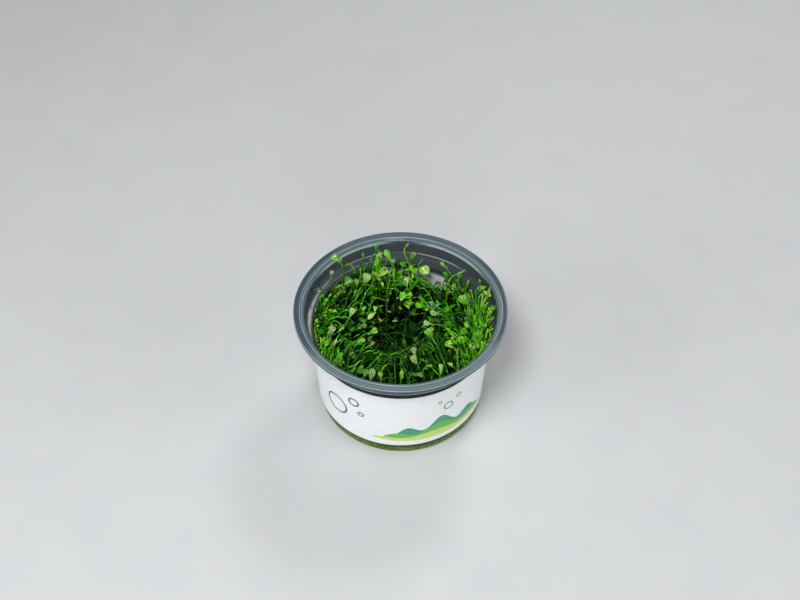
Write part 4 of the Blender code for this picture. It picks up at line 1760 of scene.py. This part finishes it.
    def bunched(self, number: int) -> Guide:
        """One of the bare stems that run up together to a tuft at the back.

        Args:
            number: Which of them.

        Returns:
            The stem's guide.
        """
        back, apart, wobble, bow, dull, brightening = 9, 2.6, 0.5, 1.4, 0.55, 0.025
        tip = Vector(self.bunch_top)
        foot = Vector((tip.x - back + apart * number, tip.y - back + self.draw.uniform(-1, 1), 0))
        foot.z = self.bunch_foot_z
        points, tones = [], []
        for k in range(self.stem_points):
            t = k / (self.stem_points - 1)
            aside = self.draw.uniform(-wobble, wobble) + bow * math.sin(math.pi * t)
            points.append(foot.lerp(tip, t) + Vector((aside, 0, 0)))
            tones.append(dull + brightening * k)
        return Guide(points, [self.bunch_radius] * self.stem_points, tones)

    def lying(self, runner: Runner) -> Guide:
        """One stem that lies over the others in a slack curve.

        Args:
            runner: The population that it belongs to.

        Returns:
            The stem's guide.
        """
        draw = self.draw
        middle = polar(draw.uniform(*runner.radii), math.radians(draw.uniform(*runner.bearings)), 0)
        along = polar(draw.uniform(*runner.reaches), math.radians(draw.uniform(*runner.ways)), 0)
        aside = Vector((-along.y, along.x, 0)) * draw.uniform(-runner.slack, runner.slack)
        lift = draw.uniform(*runner.lifts)
        thick = runner.thick * draw.uniform(0.75, 1.25)
        low, high = runner.tones
        rarity, hang, thinner, thin_from, dimmer = 1.6, 1.5, 0.45, 0.3, 0.15
        tone = low + (high - low) * draw.random() ** rarity
        points, radii, tones = [], [], []
        for k in range(self.stem_points):
            t = 2 * k / (self.stem_points - 1) - 1
            spot = middle + along * t + aside * t**2
            spot.z = self.top.over(spot) + lift * (1 - hang * t**2) + runner.slope * t
            points.append(self.held_in(spot, thick))
            radii.append(thick * (1 - thinner * eased(thin_from, 1, t)))
            tones.append(min(self.brightest, tone * (0.85 + dimmer * t)))
        return Guide(points, radii, tones)

    def front_painted_shade(self, spot: Vector) -> float:
        """How far a place is in the front of the crowd, between its bright sides, where shade is painted."""
        return eased(-4, -18, spot.y) * (1 - eased(20, 36, spot.x)) * (1 - eased(-26, -36, spot.x))

    def tone_at(self, spot: Vector) -> float:
        """How bright a plant is: brightest by the right wall and the left front, and darker in the front
        and darkest in the hollow, both a painted shade.

        Args:
            spot: The plant's tip.

        Returns:
            The tone, from 0 to 1.
        """
        dullest, spread, by_right, by_left, front_shading, hollow_shading = 0.24, 0.68, 0.3, 0.18, 0.72, 0.24
        right, left = eased(24, 38, spot.x), eased(-14, -34, spot.x) * eased(8, -16, spot.y)
        hollow = 1 - eased(8, 20, math.hypot(spot.x + 3, spot.y - 3))
        tone = dullest + spread * self.draw.random() ** 1.5
        tone += by_right * right + by_left * left
        # Painted shade: darker in the front and in the hollow.
        tone *= 1 - front_shading * self.front_painted_shade(spot)
        tone -= hollow_shading * hollow
        return min(self.brightest, max(0.08, tone))

    def leaf(self, place: Vector, heading: Vector, tone: float) -> Leaf:
        """One leaf, of a form and size drawn at random. A few are dead, and a few pale.

        Args:
            place: Where it starts.
            heading: Its way, which is turned in if it would meet the wall.
            tone: The brightness that its stem gives it.

        Returns:
            The leaf.
        """
        draw = self.draw
        form = draw.choices(list(FORM_WEIGHTS), list(FORM_WEIGHTS.values()))[0]
        tilt, towards_camera, lobed_size, dead_size = 0.7, -0.25, 0.5, 0.7
        face = Vector((draw.gauss(0, tilt), towards_camera + draw.gauss(0, tilt), 1))
        size = draw.triangular(*self.leaf_sizes)
        if form.value.lobes > 1:
            size *= lobed_size
        heading = self.turned_in(place, heading, size)
        kind = draw.random()
        if kind > self.dead_from:
            tone = 1.0
            size *= dead_size
        elif kind > self.pale_from:
            tone = self.pale_tone
        else:
            tone = min(self.brightest_leaf, tone * draw.uniform(*self.leaf_tones))
        return Leaf(place, heading, face, size, list(Form).index(form), tone)


# Single stalks


class Stalk(NamedTuple):
    """A stem and its leaf, by the route of the stem's middle and the leaf's way, length and width."""

    name: str
    route: tuple[Triple, ...]
    heading: Triple
    length: float
    width: float
    tone: Tone
    form: Form


STALKS = (
    Stalk("back_fork", ((-26, 22, 10), (-28.4, 27.4, 48), (-28.6, 29, 54.5), (-29, 28.8, 60)), (-4, 2.8, 2.2),
          5.5, 3.6, Tone.BRIGHT, Form.SPATULA),
    Stalk("back_fork_side", ((-27.3, 29, 56.6), (-26, 28.9, 59.4), (-24, 28.5, 59.2), (-22.4, 27.7, 56)),
          (1, -0.4, -3), 1.6, 0.9, Tone.LIME, Form.NARROW),
    Stalk("back_tall", ((-14, 24, 10), (-16, 34, 52), (-12, 37.4, 60)), (1.6, 3.2, 3.2),
          4.4, 3.2, Tone.TEAL, Form.FOLDED),
    Stalk("back_tall_second", ((-11, 25, 10), (-12.2, 34, 49), (-10.2, 35.6, 56)), (0.2, 1.6, 3.4),
          4.4, 2.6, Tone.LIME, Form.SPOON),
    Stalk("back_strap", ((-1, 27, 10), (-2.6, 32, 47), (-4, 34.2, 54)), (-4.2, 4, 7.5),
          8.0, 3.0, Tone.BRIGHT, Form.SPATULA),
    Stalk("back_small", ((-18, 25, 10), (-19.4, 33, 51), (-18.6, 35.6, 56.6)), (0.4, 1.6, 2),
          3.2, 1.8, Tone.MID, Form.POINTED),
    Stalk("back_curl", ((7, 28, 10), (5.6, 36.6, 46), (3, 36.9, 55), (2, 39, 60)), (2.4, 2, 2.8),
          4.0, 1.0, Tone.LIME, Form.NARROW),
    Stalk("back_curl_leaf", ((5, 26, 10), (6.6, 35.4, 50), (4.8, 35.2, 56)), (1.2, 1.8, 1.4),
          4.2, 3.2, Tone.MID, Form.FOLDED),
    Stalk("back_hook", ((11, 26, 10), (9, 31, 49), (9.2, 32.6, 56)), (2, 2, 1.6),
          2.8, 1.0, Tone.MID, Form.NARROW),
    Stalk("back_spatula", ((-1, 30, 10), (-2.4, 33, 43), (0.6, 33.6, 49.4), (5.2, 33.6, 50.6)),
          (6, -0.4, 0.2), 9.0, 4.6, Tone.LIME, Form.SPATULA),
    Stalk("back_right_leaf", ((27, 22, 10), (25.6, 28.6, 48), (22.6, 31, 53.6)), (-3, 2, 2),
          4.5, 2.4, Tone.BRIGHT, Form.SPATULA),
    Stalk("back_right_pointed", ((22, 20, 10), (23, 25, 46), (26, 27.4, 53)), (6, 1, 2.4),
          6.6, 1.1, Tone.LIME, Form.NARROW),
    Stalk("right_back_tip", ((33, 14, 10), (36.4, 16.6, 49), (38.2, 18.2, 56)), (-0.6, 0.8, 3.2),
          4.0, 1.4, Tone.BRIGHT, Form.NARROW),
    Stalk("right_wall_tip", ((34, 6, 10), (38.4, 8.4, 49), (41.2, 9.8, 57)), (0.5, 0.7, 3),
          6.4, 1.6, Tone.LIME, Form.POINTED),
    Stalk("right_wall_side", ((33, 11, 10), (36.4, 13, 50), (36.8, 14.6, 57.2)), (4, -0.3, 0.6),
          4.4, 1.9, Tone.BRIGHT, Form.POINTED),
    Stalk("back_left_pale", ((-30, 19, 10), (-33, 21.4, 48), (-33.6, 24, 56.4)), (0.3, 1.6, 1.2),
          2.6, 2.0, Tone.GREY, Form.CUPPED),
    Stalk("left_dark", ((-33, 9, 10), (-36.4, 12, 49), (-37, 14.3, 57)), (-4, -0.3, 0.6),
          4.4, 2.0, Tone.DARK, Form.POINTED),
    Stalk("left_round", ((-29, 16, 10), (-28.6, 21, 43), (-27.2, 23.2, 49.6)), (2, 2, 1.2),
          5.0, 4.8, Tone.MID, Form.ROUND),
    Stalk("back_round", ((-20, 22, 10), (-19, 25.4, 43), (-17.8, 26, 49)), (2, 2.6, 1.6),
          4.8, 4.4, Tone.PALE, Form.CUPPED),
    Stalk("back_broad", ((-15, 20, 10), (-14.2, 26, 44), (-12.3, 28.6, 50.4)), (5.5, 4.1, 2.5),
          7.4, 4.6, Tone.LIME, Form.FOLDED),
    Stalk("back_two_lobed", ((-7, 22, 10), (-6.4, 26.6, 41), (-5.4, 28.8, 47)), (1, 1.4, 1.4),
          5.2, 5.2, Tone.LIME, Form.TWO_LOBED),
    Stalk("middle_cupped", ((4, 24, 10), (4, 26.4, 40), (3, 26, 46.4)), (-1.6, 2.6, 1.4),
          4.2, 3.6, Tone.PALE, Form.CUPPED),
    Stalk("left_pale", ((-32, -2, 10), (-29, 2, 40), (-25, 5, 46)), (3, 4.6, 1.4),
          6.0, 4.0, Tone.PALE, Form.SPOON),
    Stalk("left_grey", ((-35, -7, 10), (-35.4, -7.6, 42), (-33.8, -7.2, 48.6)), (2.6, 2, 0.8),
          4.4, 4.4, Tone.GREY, Form.ROUND),
    Stalk("middle_spoon", ((-31, -15, 10), (-27, -12.5, 38), (-21.4, -8.4, 44.6), (-16, -4.5, 46.6)),
          (4.6, 1.2, 0.3), 5.0, 3.6, Tone.BRIGHT, Form.SPOON),
    Stalk("left_small", ((-31, 3, 10), (-25, 2.4, 38), (-20, 1.6, 43.6)), (3.4, 1.2, 0.6),
          3.8, 2.8, Tone.MID, Form.SPOON),
    Stalk("front_left_broad", ((-33, -17, 10), (-32.6, -18.8, 40), (-31.4, -19.4, 45.6)), (5, -2.4, 1),
          6.4, 4.2, Tone.LIME, Form.SPOON),
    Stalk("front_left_curl", ((-24, -23, 10), (-23.6, -25.4, 40), (-21.8, -26.2, 45.8), (-19, -26.6, 47.4)),
          (2.4, -1.2, -1), 4.4, 3.4, Tone.BRIGHT, Form.CURLED),
    Stalk("front_pale_round", ((-14, -26, 10), (-14.6, -29.6, 38), (-14, -30.4, 43.6)), (1, 3, 2.2),
          5.4, 3.8, Tone.PALE, Form.ROUND),
    Stalk("front_pale_small", ((-8, -27, 10), (-9.2, -30.6, 38), (-9.2, -31, 43.6)), (0.2, 3, 2.4),
          4.0, 2.6, Tone.PALE, Form.SPOON),
    Stalk("front_pointed", ((0, -26, 10), (0, -28.6, 38), (0.2, -29.4, 43.6)), (0.2, 2.6, 2),
          4.2, 2.2, Tone.LIME, Form.POINTED),
    Stalk("front_ribbon", ((3, -27, 10), (3.4, -31, 40), (4, -30.6, 45.4), (6, -29.4, 47.2)), (3, -0.4, -0.4),
          4.6, 2.4, Tone.BRIGHT, Form.CURLED),
    Stalk("front_t_top", ((11, -28, 10), (11.4, -29.4, 40), (11.6, -27, 48.6)), (2.6, 0.4, 1),
          3.2, 1.8, Tone.BRIGHT, Form.SPATULA),
    Stalk("front_right_hook", ((27, -25, 10), (25.8, -28, 42), (26.4, -24.4, 49.6), (25, -19, 52.8)),
          (-2.6, 3, -1.4), 4.6, 1.1, Tone.LIME, Form.NARROW),
    Stalk("front_pale_large", ((10, -25, 10), (9.8, -24.6, 38), (8.4, -22.8, 43.8)), (-3, 3.2, 2),
          6.0, 3.8, Tone.PALE, Form.SPOON),
    Stalk("middle_four_lobed", ((24, 20, 10), (20, 17, 38), (15.6, 14, 45)), (0, 0.3, 1),
          6.4, 6.4, Tone.TEAL, Form.FOUR_LOBED),
    Stalk("middle_spatula", ((31, -1, 10), (26, 0, 38), (20.4, 1.6, 45), (15.8, 1.4, 46.4)),
          (-4.4, -0.6, 0.2), 5.0, 3.4, Tone.PALE, Form.SPOON),
    Stalk("middle_pale", ((32, 6, 10), (26, 6.6, 40), (21.6, 6.8, 46.4), (18.6, 6.4, 48.2)),
          (-3.6, -0.4, 0.4), 4.6, 3.8, Tone.PALE, Form.SPOON),
    Stalk("middle_veined", ((24, -23, 10), (21, -17, 38), (17.6, -11, 44), (14.6, -6.8, 46.6)),
          (-2.4, 3, 0.6), 4.4, 4.2, Tone.BRIGHT, Form.ROUND),
    Stalk("middle_faded", ((10, -20, 10), (8.4, -17.4, 36), (6.6, -14.6, 42.6)), (-1.4, 2.2, 1.2),
          3.6, 3.4, Tone.GREY, Form.CUPPED),
    Stalk("right_round", ((32, 6.5, 10), (33.6, 10, 44), (31.6, 11.6, 49.4)), (-2.6, 2.4, 1.4),
          5.0, 4.6, Tone.BRIGHT, Form.ROUND),
    Stalk("right_cupped", ((33, -2, 10), (33.6, 0.6, 43), (32, 2.4, 48)), (-1, 2, 3),
          5.0, 2.8, Tone.MID, Form.CUPPED),
)

WALL_BANKS = (
    ("right_wall", 6, -36, 2, 34, 39.6, 54.0),
    ("left_wall", 3, 198, 206, 34, 36.2, 48.0),
)
"""Upright stalks along the wall: name, count, bearings in degrees, foot radius, neck radius, neck height."""


def wall_stalks() -> Iterator[Stalk]:
    """Upright stalks spaced along a stretch of the wall, each a little taller or shorter than the last.

    Yields:
        The stalks of each bank.
    """
    lean, most, turn, bend, lean_in, length, width = 7.0, 2.2, 2.4, 1.4, 0.2, 5.2, 1.7
    for bank, count, first, last, foot_radius, neck_radius, neck_height in WALL_BANKS:
        for i in range(count):
            bearing = math.radians(first + (last - first) * i / (count - 1))
            vary = most * math.sin(turn * i + first)
            outward = polar(1, bearing, 0)
            along = Vector((-math.sin(bearing), math.cos(bearing), 0)) * vary / 3
            foot = outward * foot_radius + UP * StalkMaker.foot_z
            middle = outward * (neck_radius - bend) + along + UP * (neck_height - lean)
            neck = outward * neck_radius + along + UP * (neck_height + vary)
            heading = along / 4 - outward * lean_in + UP
            route = (tuple(foot), tuple(middle), tuple(neck))
            tone = Tone.BRIGHT if i % 2 else Tone.LIME
            yield Stalk(f"{bank}_{i + 1}", route, tuple(heading), length, width, tone, Form.POINTED)


@dataclass(frozen=True)
class StalkMaker:
    """Grows a single stalk: its stem and its leaf, skinned in one."""

    foot_z: float = 10.0
    stem_radius: float = 0.42
    spacing: float = 1.6
    fewest_spans: int = 6
    step: float = 0.1
    foot_swell: float = 1.1
    taper: float = 0.25
    foot_tone: float = 0.04
    neck_tone: float = 0.44
    leaf_tones: Span = (0.4, 1.0)
    lobe_tones: Span = (0.5, 0.85)
    bends: Span = (-0.12, 0.16)
    cups: Span = (0.7, 1.5)
    tops: int = 9
    rows: int = 14
    thick: float = 0.34
    ripple: float = 0.9
    most_roll: float = 0.5
    most_side_length: float = 3.0
    side_turns: Span = (0.5, 1.1)
    side_rises: Span = (-0.3, 0.3)
    side_lengths: Span = (0.35, 0.6)
    side_drops: Span = (0.1, 0.7)
    side_tips: Span = (0.6, 1.0)
    side_rows: int = 8
    side_tops: int = 7
    side_thin: float = 0.8
    side_tones: tuple[Tone, ...] = (Tone.BRIGHT, Tone.LIME, Tone.MID, Tone.TEAL)
    side_forms: tuple[Form, ...] = (Form.SPOON, Form.CUPPED, Form.FOLDED, Form.CURLED)
    faces: Vector = Vector((0, -0.35, 1))

    def line(self, stalk: Stalk) -> tuple[Callable[[float], Vector], float]:
        """The stem's middle line, which leaves the foot upright and ends along the leaf's way.

        Args:
            stalk: The stalk.

        Returns:
            A function that gives the point at a place along the line, and the line's length.
        """
        points = [Vector(point) for point in stalk.route]
        places = [0.0]
        for before, after in zip(points, points[1:]):
            places.append(places[-1] + (after - before).length)
        slopes = [UP.copy() if points[0].z <= self.foot_z else (points[1] - points[0]).normalized()]
        for i in range(1, len(points) - 1):
            slopes.append((points[i + 1] - points[i - 1]) / (places[i + 1] - places[i - 1]))
        slopes.append(Vector(stalk.heading).normalized())

        def at(place: float) -> Vector:
            """The point of the line at a place along it.

            Args:
                place: The place.

            Returns:
                The point.
            """
            i = 0
            while i < len(points) - 2 and place > places[i + 1]:
                i += 1
            span = places[i + 1] - places[i]
            t = (place - places[i]) / span
            return flowing(points[i], slopes[i] * span, points[i + 1], slopes[i + 1] * span, t)

        return at, places[-1]

    def stem(self, stalk: Stalk, heading: Vector, normal: Vector) -> tuple[list[Ring], Numbers]:
        """The stem's rings, turned as little as possible on their way down from the leaf's neck.

        Args:
            stalk: The stalk.
            heading: The leaf's way.
            normal: The way that the leaf's face looks.

        Returns:
            The rings from the foot up, and the numbers on their points.
        """
        line, length = self.line(stalk)
        count = 2 * self.tops - 2
        spans = max(self.fewest_spans, round(length / self.spacing))
        rings, face = [], normal
        for k in range(spans, -1, -1):
            place = length * k / spans
            before, after = line(max(0, place - self.step)), line(place + self.step)
            way = heading if k == spans else (after - before).normalized()
            face = square_to(face, way)
            side = way.cross(face)
            thick = self.stem_radius * (self.foot_swell - self.taper * k / spans)
            ring = []
            for i in range(count):
                turn = math.pi - i * math.tau / count
                ring.append(line(place) + (side * math.cos(turn) + face * math.sin(turn)) * thick)
            rings.insert(0, ring)
        # Darker towards the foot, where the stem stands deep in the crowd: painted shade, and partly the
        # older stem's own darker colour.
        dark, light = self.foot_tone, self.neck_tone - self.foot_tone
        tone = [[dark + light * (k / spans) ** 1.5] * count for k in range(spans + 1)]
        return rings, {"across": [[UNVEINED] * count for _ in rings], "tone": tone}

    def build(self, stalk: Stalk) -> None:
        """Grows one stalk and puts it in the scene.

        Args:
            stalk: Its route, leaf and tone.
        """
        draw = random.Random(stalk.name)
        line, length = self.line(stalk)
        neck, heading = line(length), Vector(stalk.heading).normalized()
        normal = square_to(self.faces, heading)
        normal.rotate(Quaternion(heading, draw.uniform(-self.most_roll, self.most_roll)))
        rings, numbers = self.stem(stalk, heading, normal)
        skin = Skin()
        shape = stalk.form.value
        bend = shape.bend + draw.uniform(*self.bends)
        shape = replace(shape, bend=bend, cup=shape.cup * draw.uniform(*self.cups))
        flesh = (self.thick, self.rows, self.tops)
        if shape.lobes > 1:
            reach = stalk.width / 2
            skin.loft(rings, numbers)
            leaflet = Blade(shape, reach, reach * shape.width, *flesh, ripple=self.ripple)
            leaflet.add_lobes(skin, neck, heading, normal, self.lobe_tones)
        else:
            blade = Blade(shape, stalk.length, stalk.width, *flesh, ripple=self.ripple)
            leaf, marks = blade.sections(neck, heading, normal, self.leaf_tones)
            skin.loft(rings + leaf[1:], {name: numbers[name] + marks[name][1:] for name in numbers})
            if stalk.tone in self.side_tones and stalk.form is not Form.NARROW:
                self.add_side_leaves(draw, skin, stalk.length, neck, heading)
        name = f"clover_{stalk.name}"
        piece = show(name, skin.mesh(name), stalk.tone.finish())
        stand_for(piece, stalk.tone.slot, f"stalk_{stalk.name}")

    def add_side_leaves(
        self, draw: random.Random, skin: Skin, most: float, neck: Vector, heading: Vector
    ) -> None:
        """Adds one or two smaller leaflets beside the leaf, each from just under its neck.

        Args:
            draw: The source of random numbers.
            skin: The mesh that gets them.
            most: The length of the leaf.
            neck: Where the leaf starts.
            heading: The leaf's way.
        """
        for side in (-1, 1)[: draw.choice((1, 1, 2))]:
            turned = square_to(self.faces, heading).cross(heading) * side * draw.uniform(*self.side_turns)
            way = (heading + turned + UP * draw.uniform(*self.side_rises)).normalized()
            form = draw.choice(self.side_forms).value
            length = min(most * draw.uniform(*self.side_lengths), self.most_side_length)
            width, thick = length * form.width, self.thick * self.side_thin
            blade = Blade(form, length, width, thick, self.side_rows, self.side_tops)
            start = neck - heading * draw.uniform(*self.side_drops)
            tones = (self.leaf_tones[0], draw.uniform(*self.side_tips))
            skin.loft(*blade.sections(start, way, square_to(self.faces, way), tones))


# The studio


class Softbox(NamedTuple):
    """A lamp: its place, its aim and its side in metres, its power in watts, and if glossy faces show it."""

    name: str
    place: Triple
    aim: Triple
    size: float
    power: float
    mirrored: bool


SOFTBOXES = (
    Softbox("key_softbox", (-0.15, -0.42, 0.86), (0, 0, 0.03), 0.26, 6.6, True),
    Softbox("back_softbox", (0.3, 0.62, 0.7), (0, 0, 0.03), 0.25, 3.0, True),
    Softbox("front_softbox", (0.1, -1.0, 0.42), (0, 0, 0.03), 0.3, 2.4, True),
    Softbox("left_fill", (-0.75, -0.35, 0.4), (0, 0, 0.04), 0.4, 2.6, False),
    Softbox("right_fill", (0.8, -0.25, 0.35), (0, 0, 0.04), 0.4, 2.2, False),
)


@dataclass(frozen=True)
class Studio:
    """A pale floor, soft lights and the camera."""

    floor_size: float = 6000.0
    lens: float = 63.0
    sensor: float = 36.0
    clip_start: float = 0.01
    camera_place: Triple = (-0.00031, -0.44017, 0.54742)
    camera_tilt: float = 42.394
    sky: str = "eef1f5"
    sky_strength: float = 0.1

    def build(self) -> None:
        """Lays the floor, hangs the lights and sets the camera."""
        half = self.floor_size / 2 * MM
        corners = [(-half, -half, 0), (half, -half, 0), (half, half, 0), (-half, half, 0)]
        mesh = bpy.data.meshes.new("studio_floor")
        mesh.from_pydata(corners, [], [(0, 1, 2, 3)])
        show("studio_floor", mesh, StudioFloor())
        for softbox in SOFTBOXES:
            self.hang(softbox)
        scene = bpy.context.scene
        scene.world = bpy.data.worlds.new("studio_air")
        scene.world.use_nodes = True
        air = scene.world.node_tree.nodes["Background"]
        feed(scene.world.node_tree, air, {"Color": linear(self.sky), "Strength": self.sky_strength})
        scene.view_settings.view_transform = "Standard"
        data = bpy.data.cameras.new("photo_camera")
        data.lens = self.lens
        data.sensor_width = self.sensor
        data.clip_start = self.clip_start
        camera = bpy.data.objects.new("photo_camera", data)
        camera.location = self.camera_place
        camera.rotation_euler = (math.radians(self.camera_tilt), 0, 0)
        scene.collection.objects.link(camera)
        scene.camera = camera

    def hang(self, softbox: Softbox) -> None:
        """Hangs one softbox.

        Args:
            softbox: Its sizes.
        """
        data = bpy.data.lights.new(softbox.name, "AREA")
        data.size = softbox.size
        data.energy = softbox.power
        lamp = bpy.data.objects.new(softbox.name, data)
        lamp.location = softbox.place
        lamp.visible_glossy = softbox.mirrored
        way = Vector(softbox.aim) - Vector(softbox.place)
        lamp.rotation_euler = way.to_track_quat("-Z", "Y").to_euler()
        bpy.context.scene.collection.objects.link(lamp)


def main() -> None:
    """Builds the pieces in order, then the studio."""
    logging.basicConfig(level=logging.INFO, format="%(name)s %(message)s")
    cup = CultureCup()
    cup.build()
    WrapLabel(cup).build()
    RootMat(cup).build()
    FoliageCrowd(cup, CrowdTop(), random.Random(CROWD_SEED)).build()
    maker = StalkMaker()
    for stalk in (*STALKS, *wall_stalks()):
        maker.build(stalk)
    Studio().build()


if __name__ == "__main__":
    main()
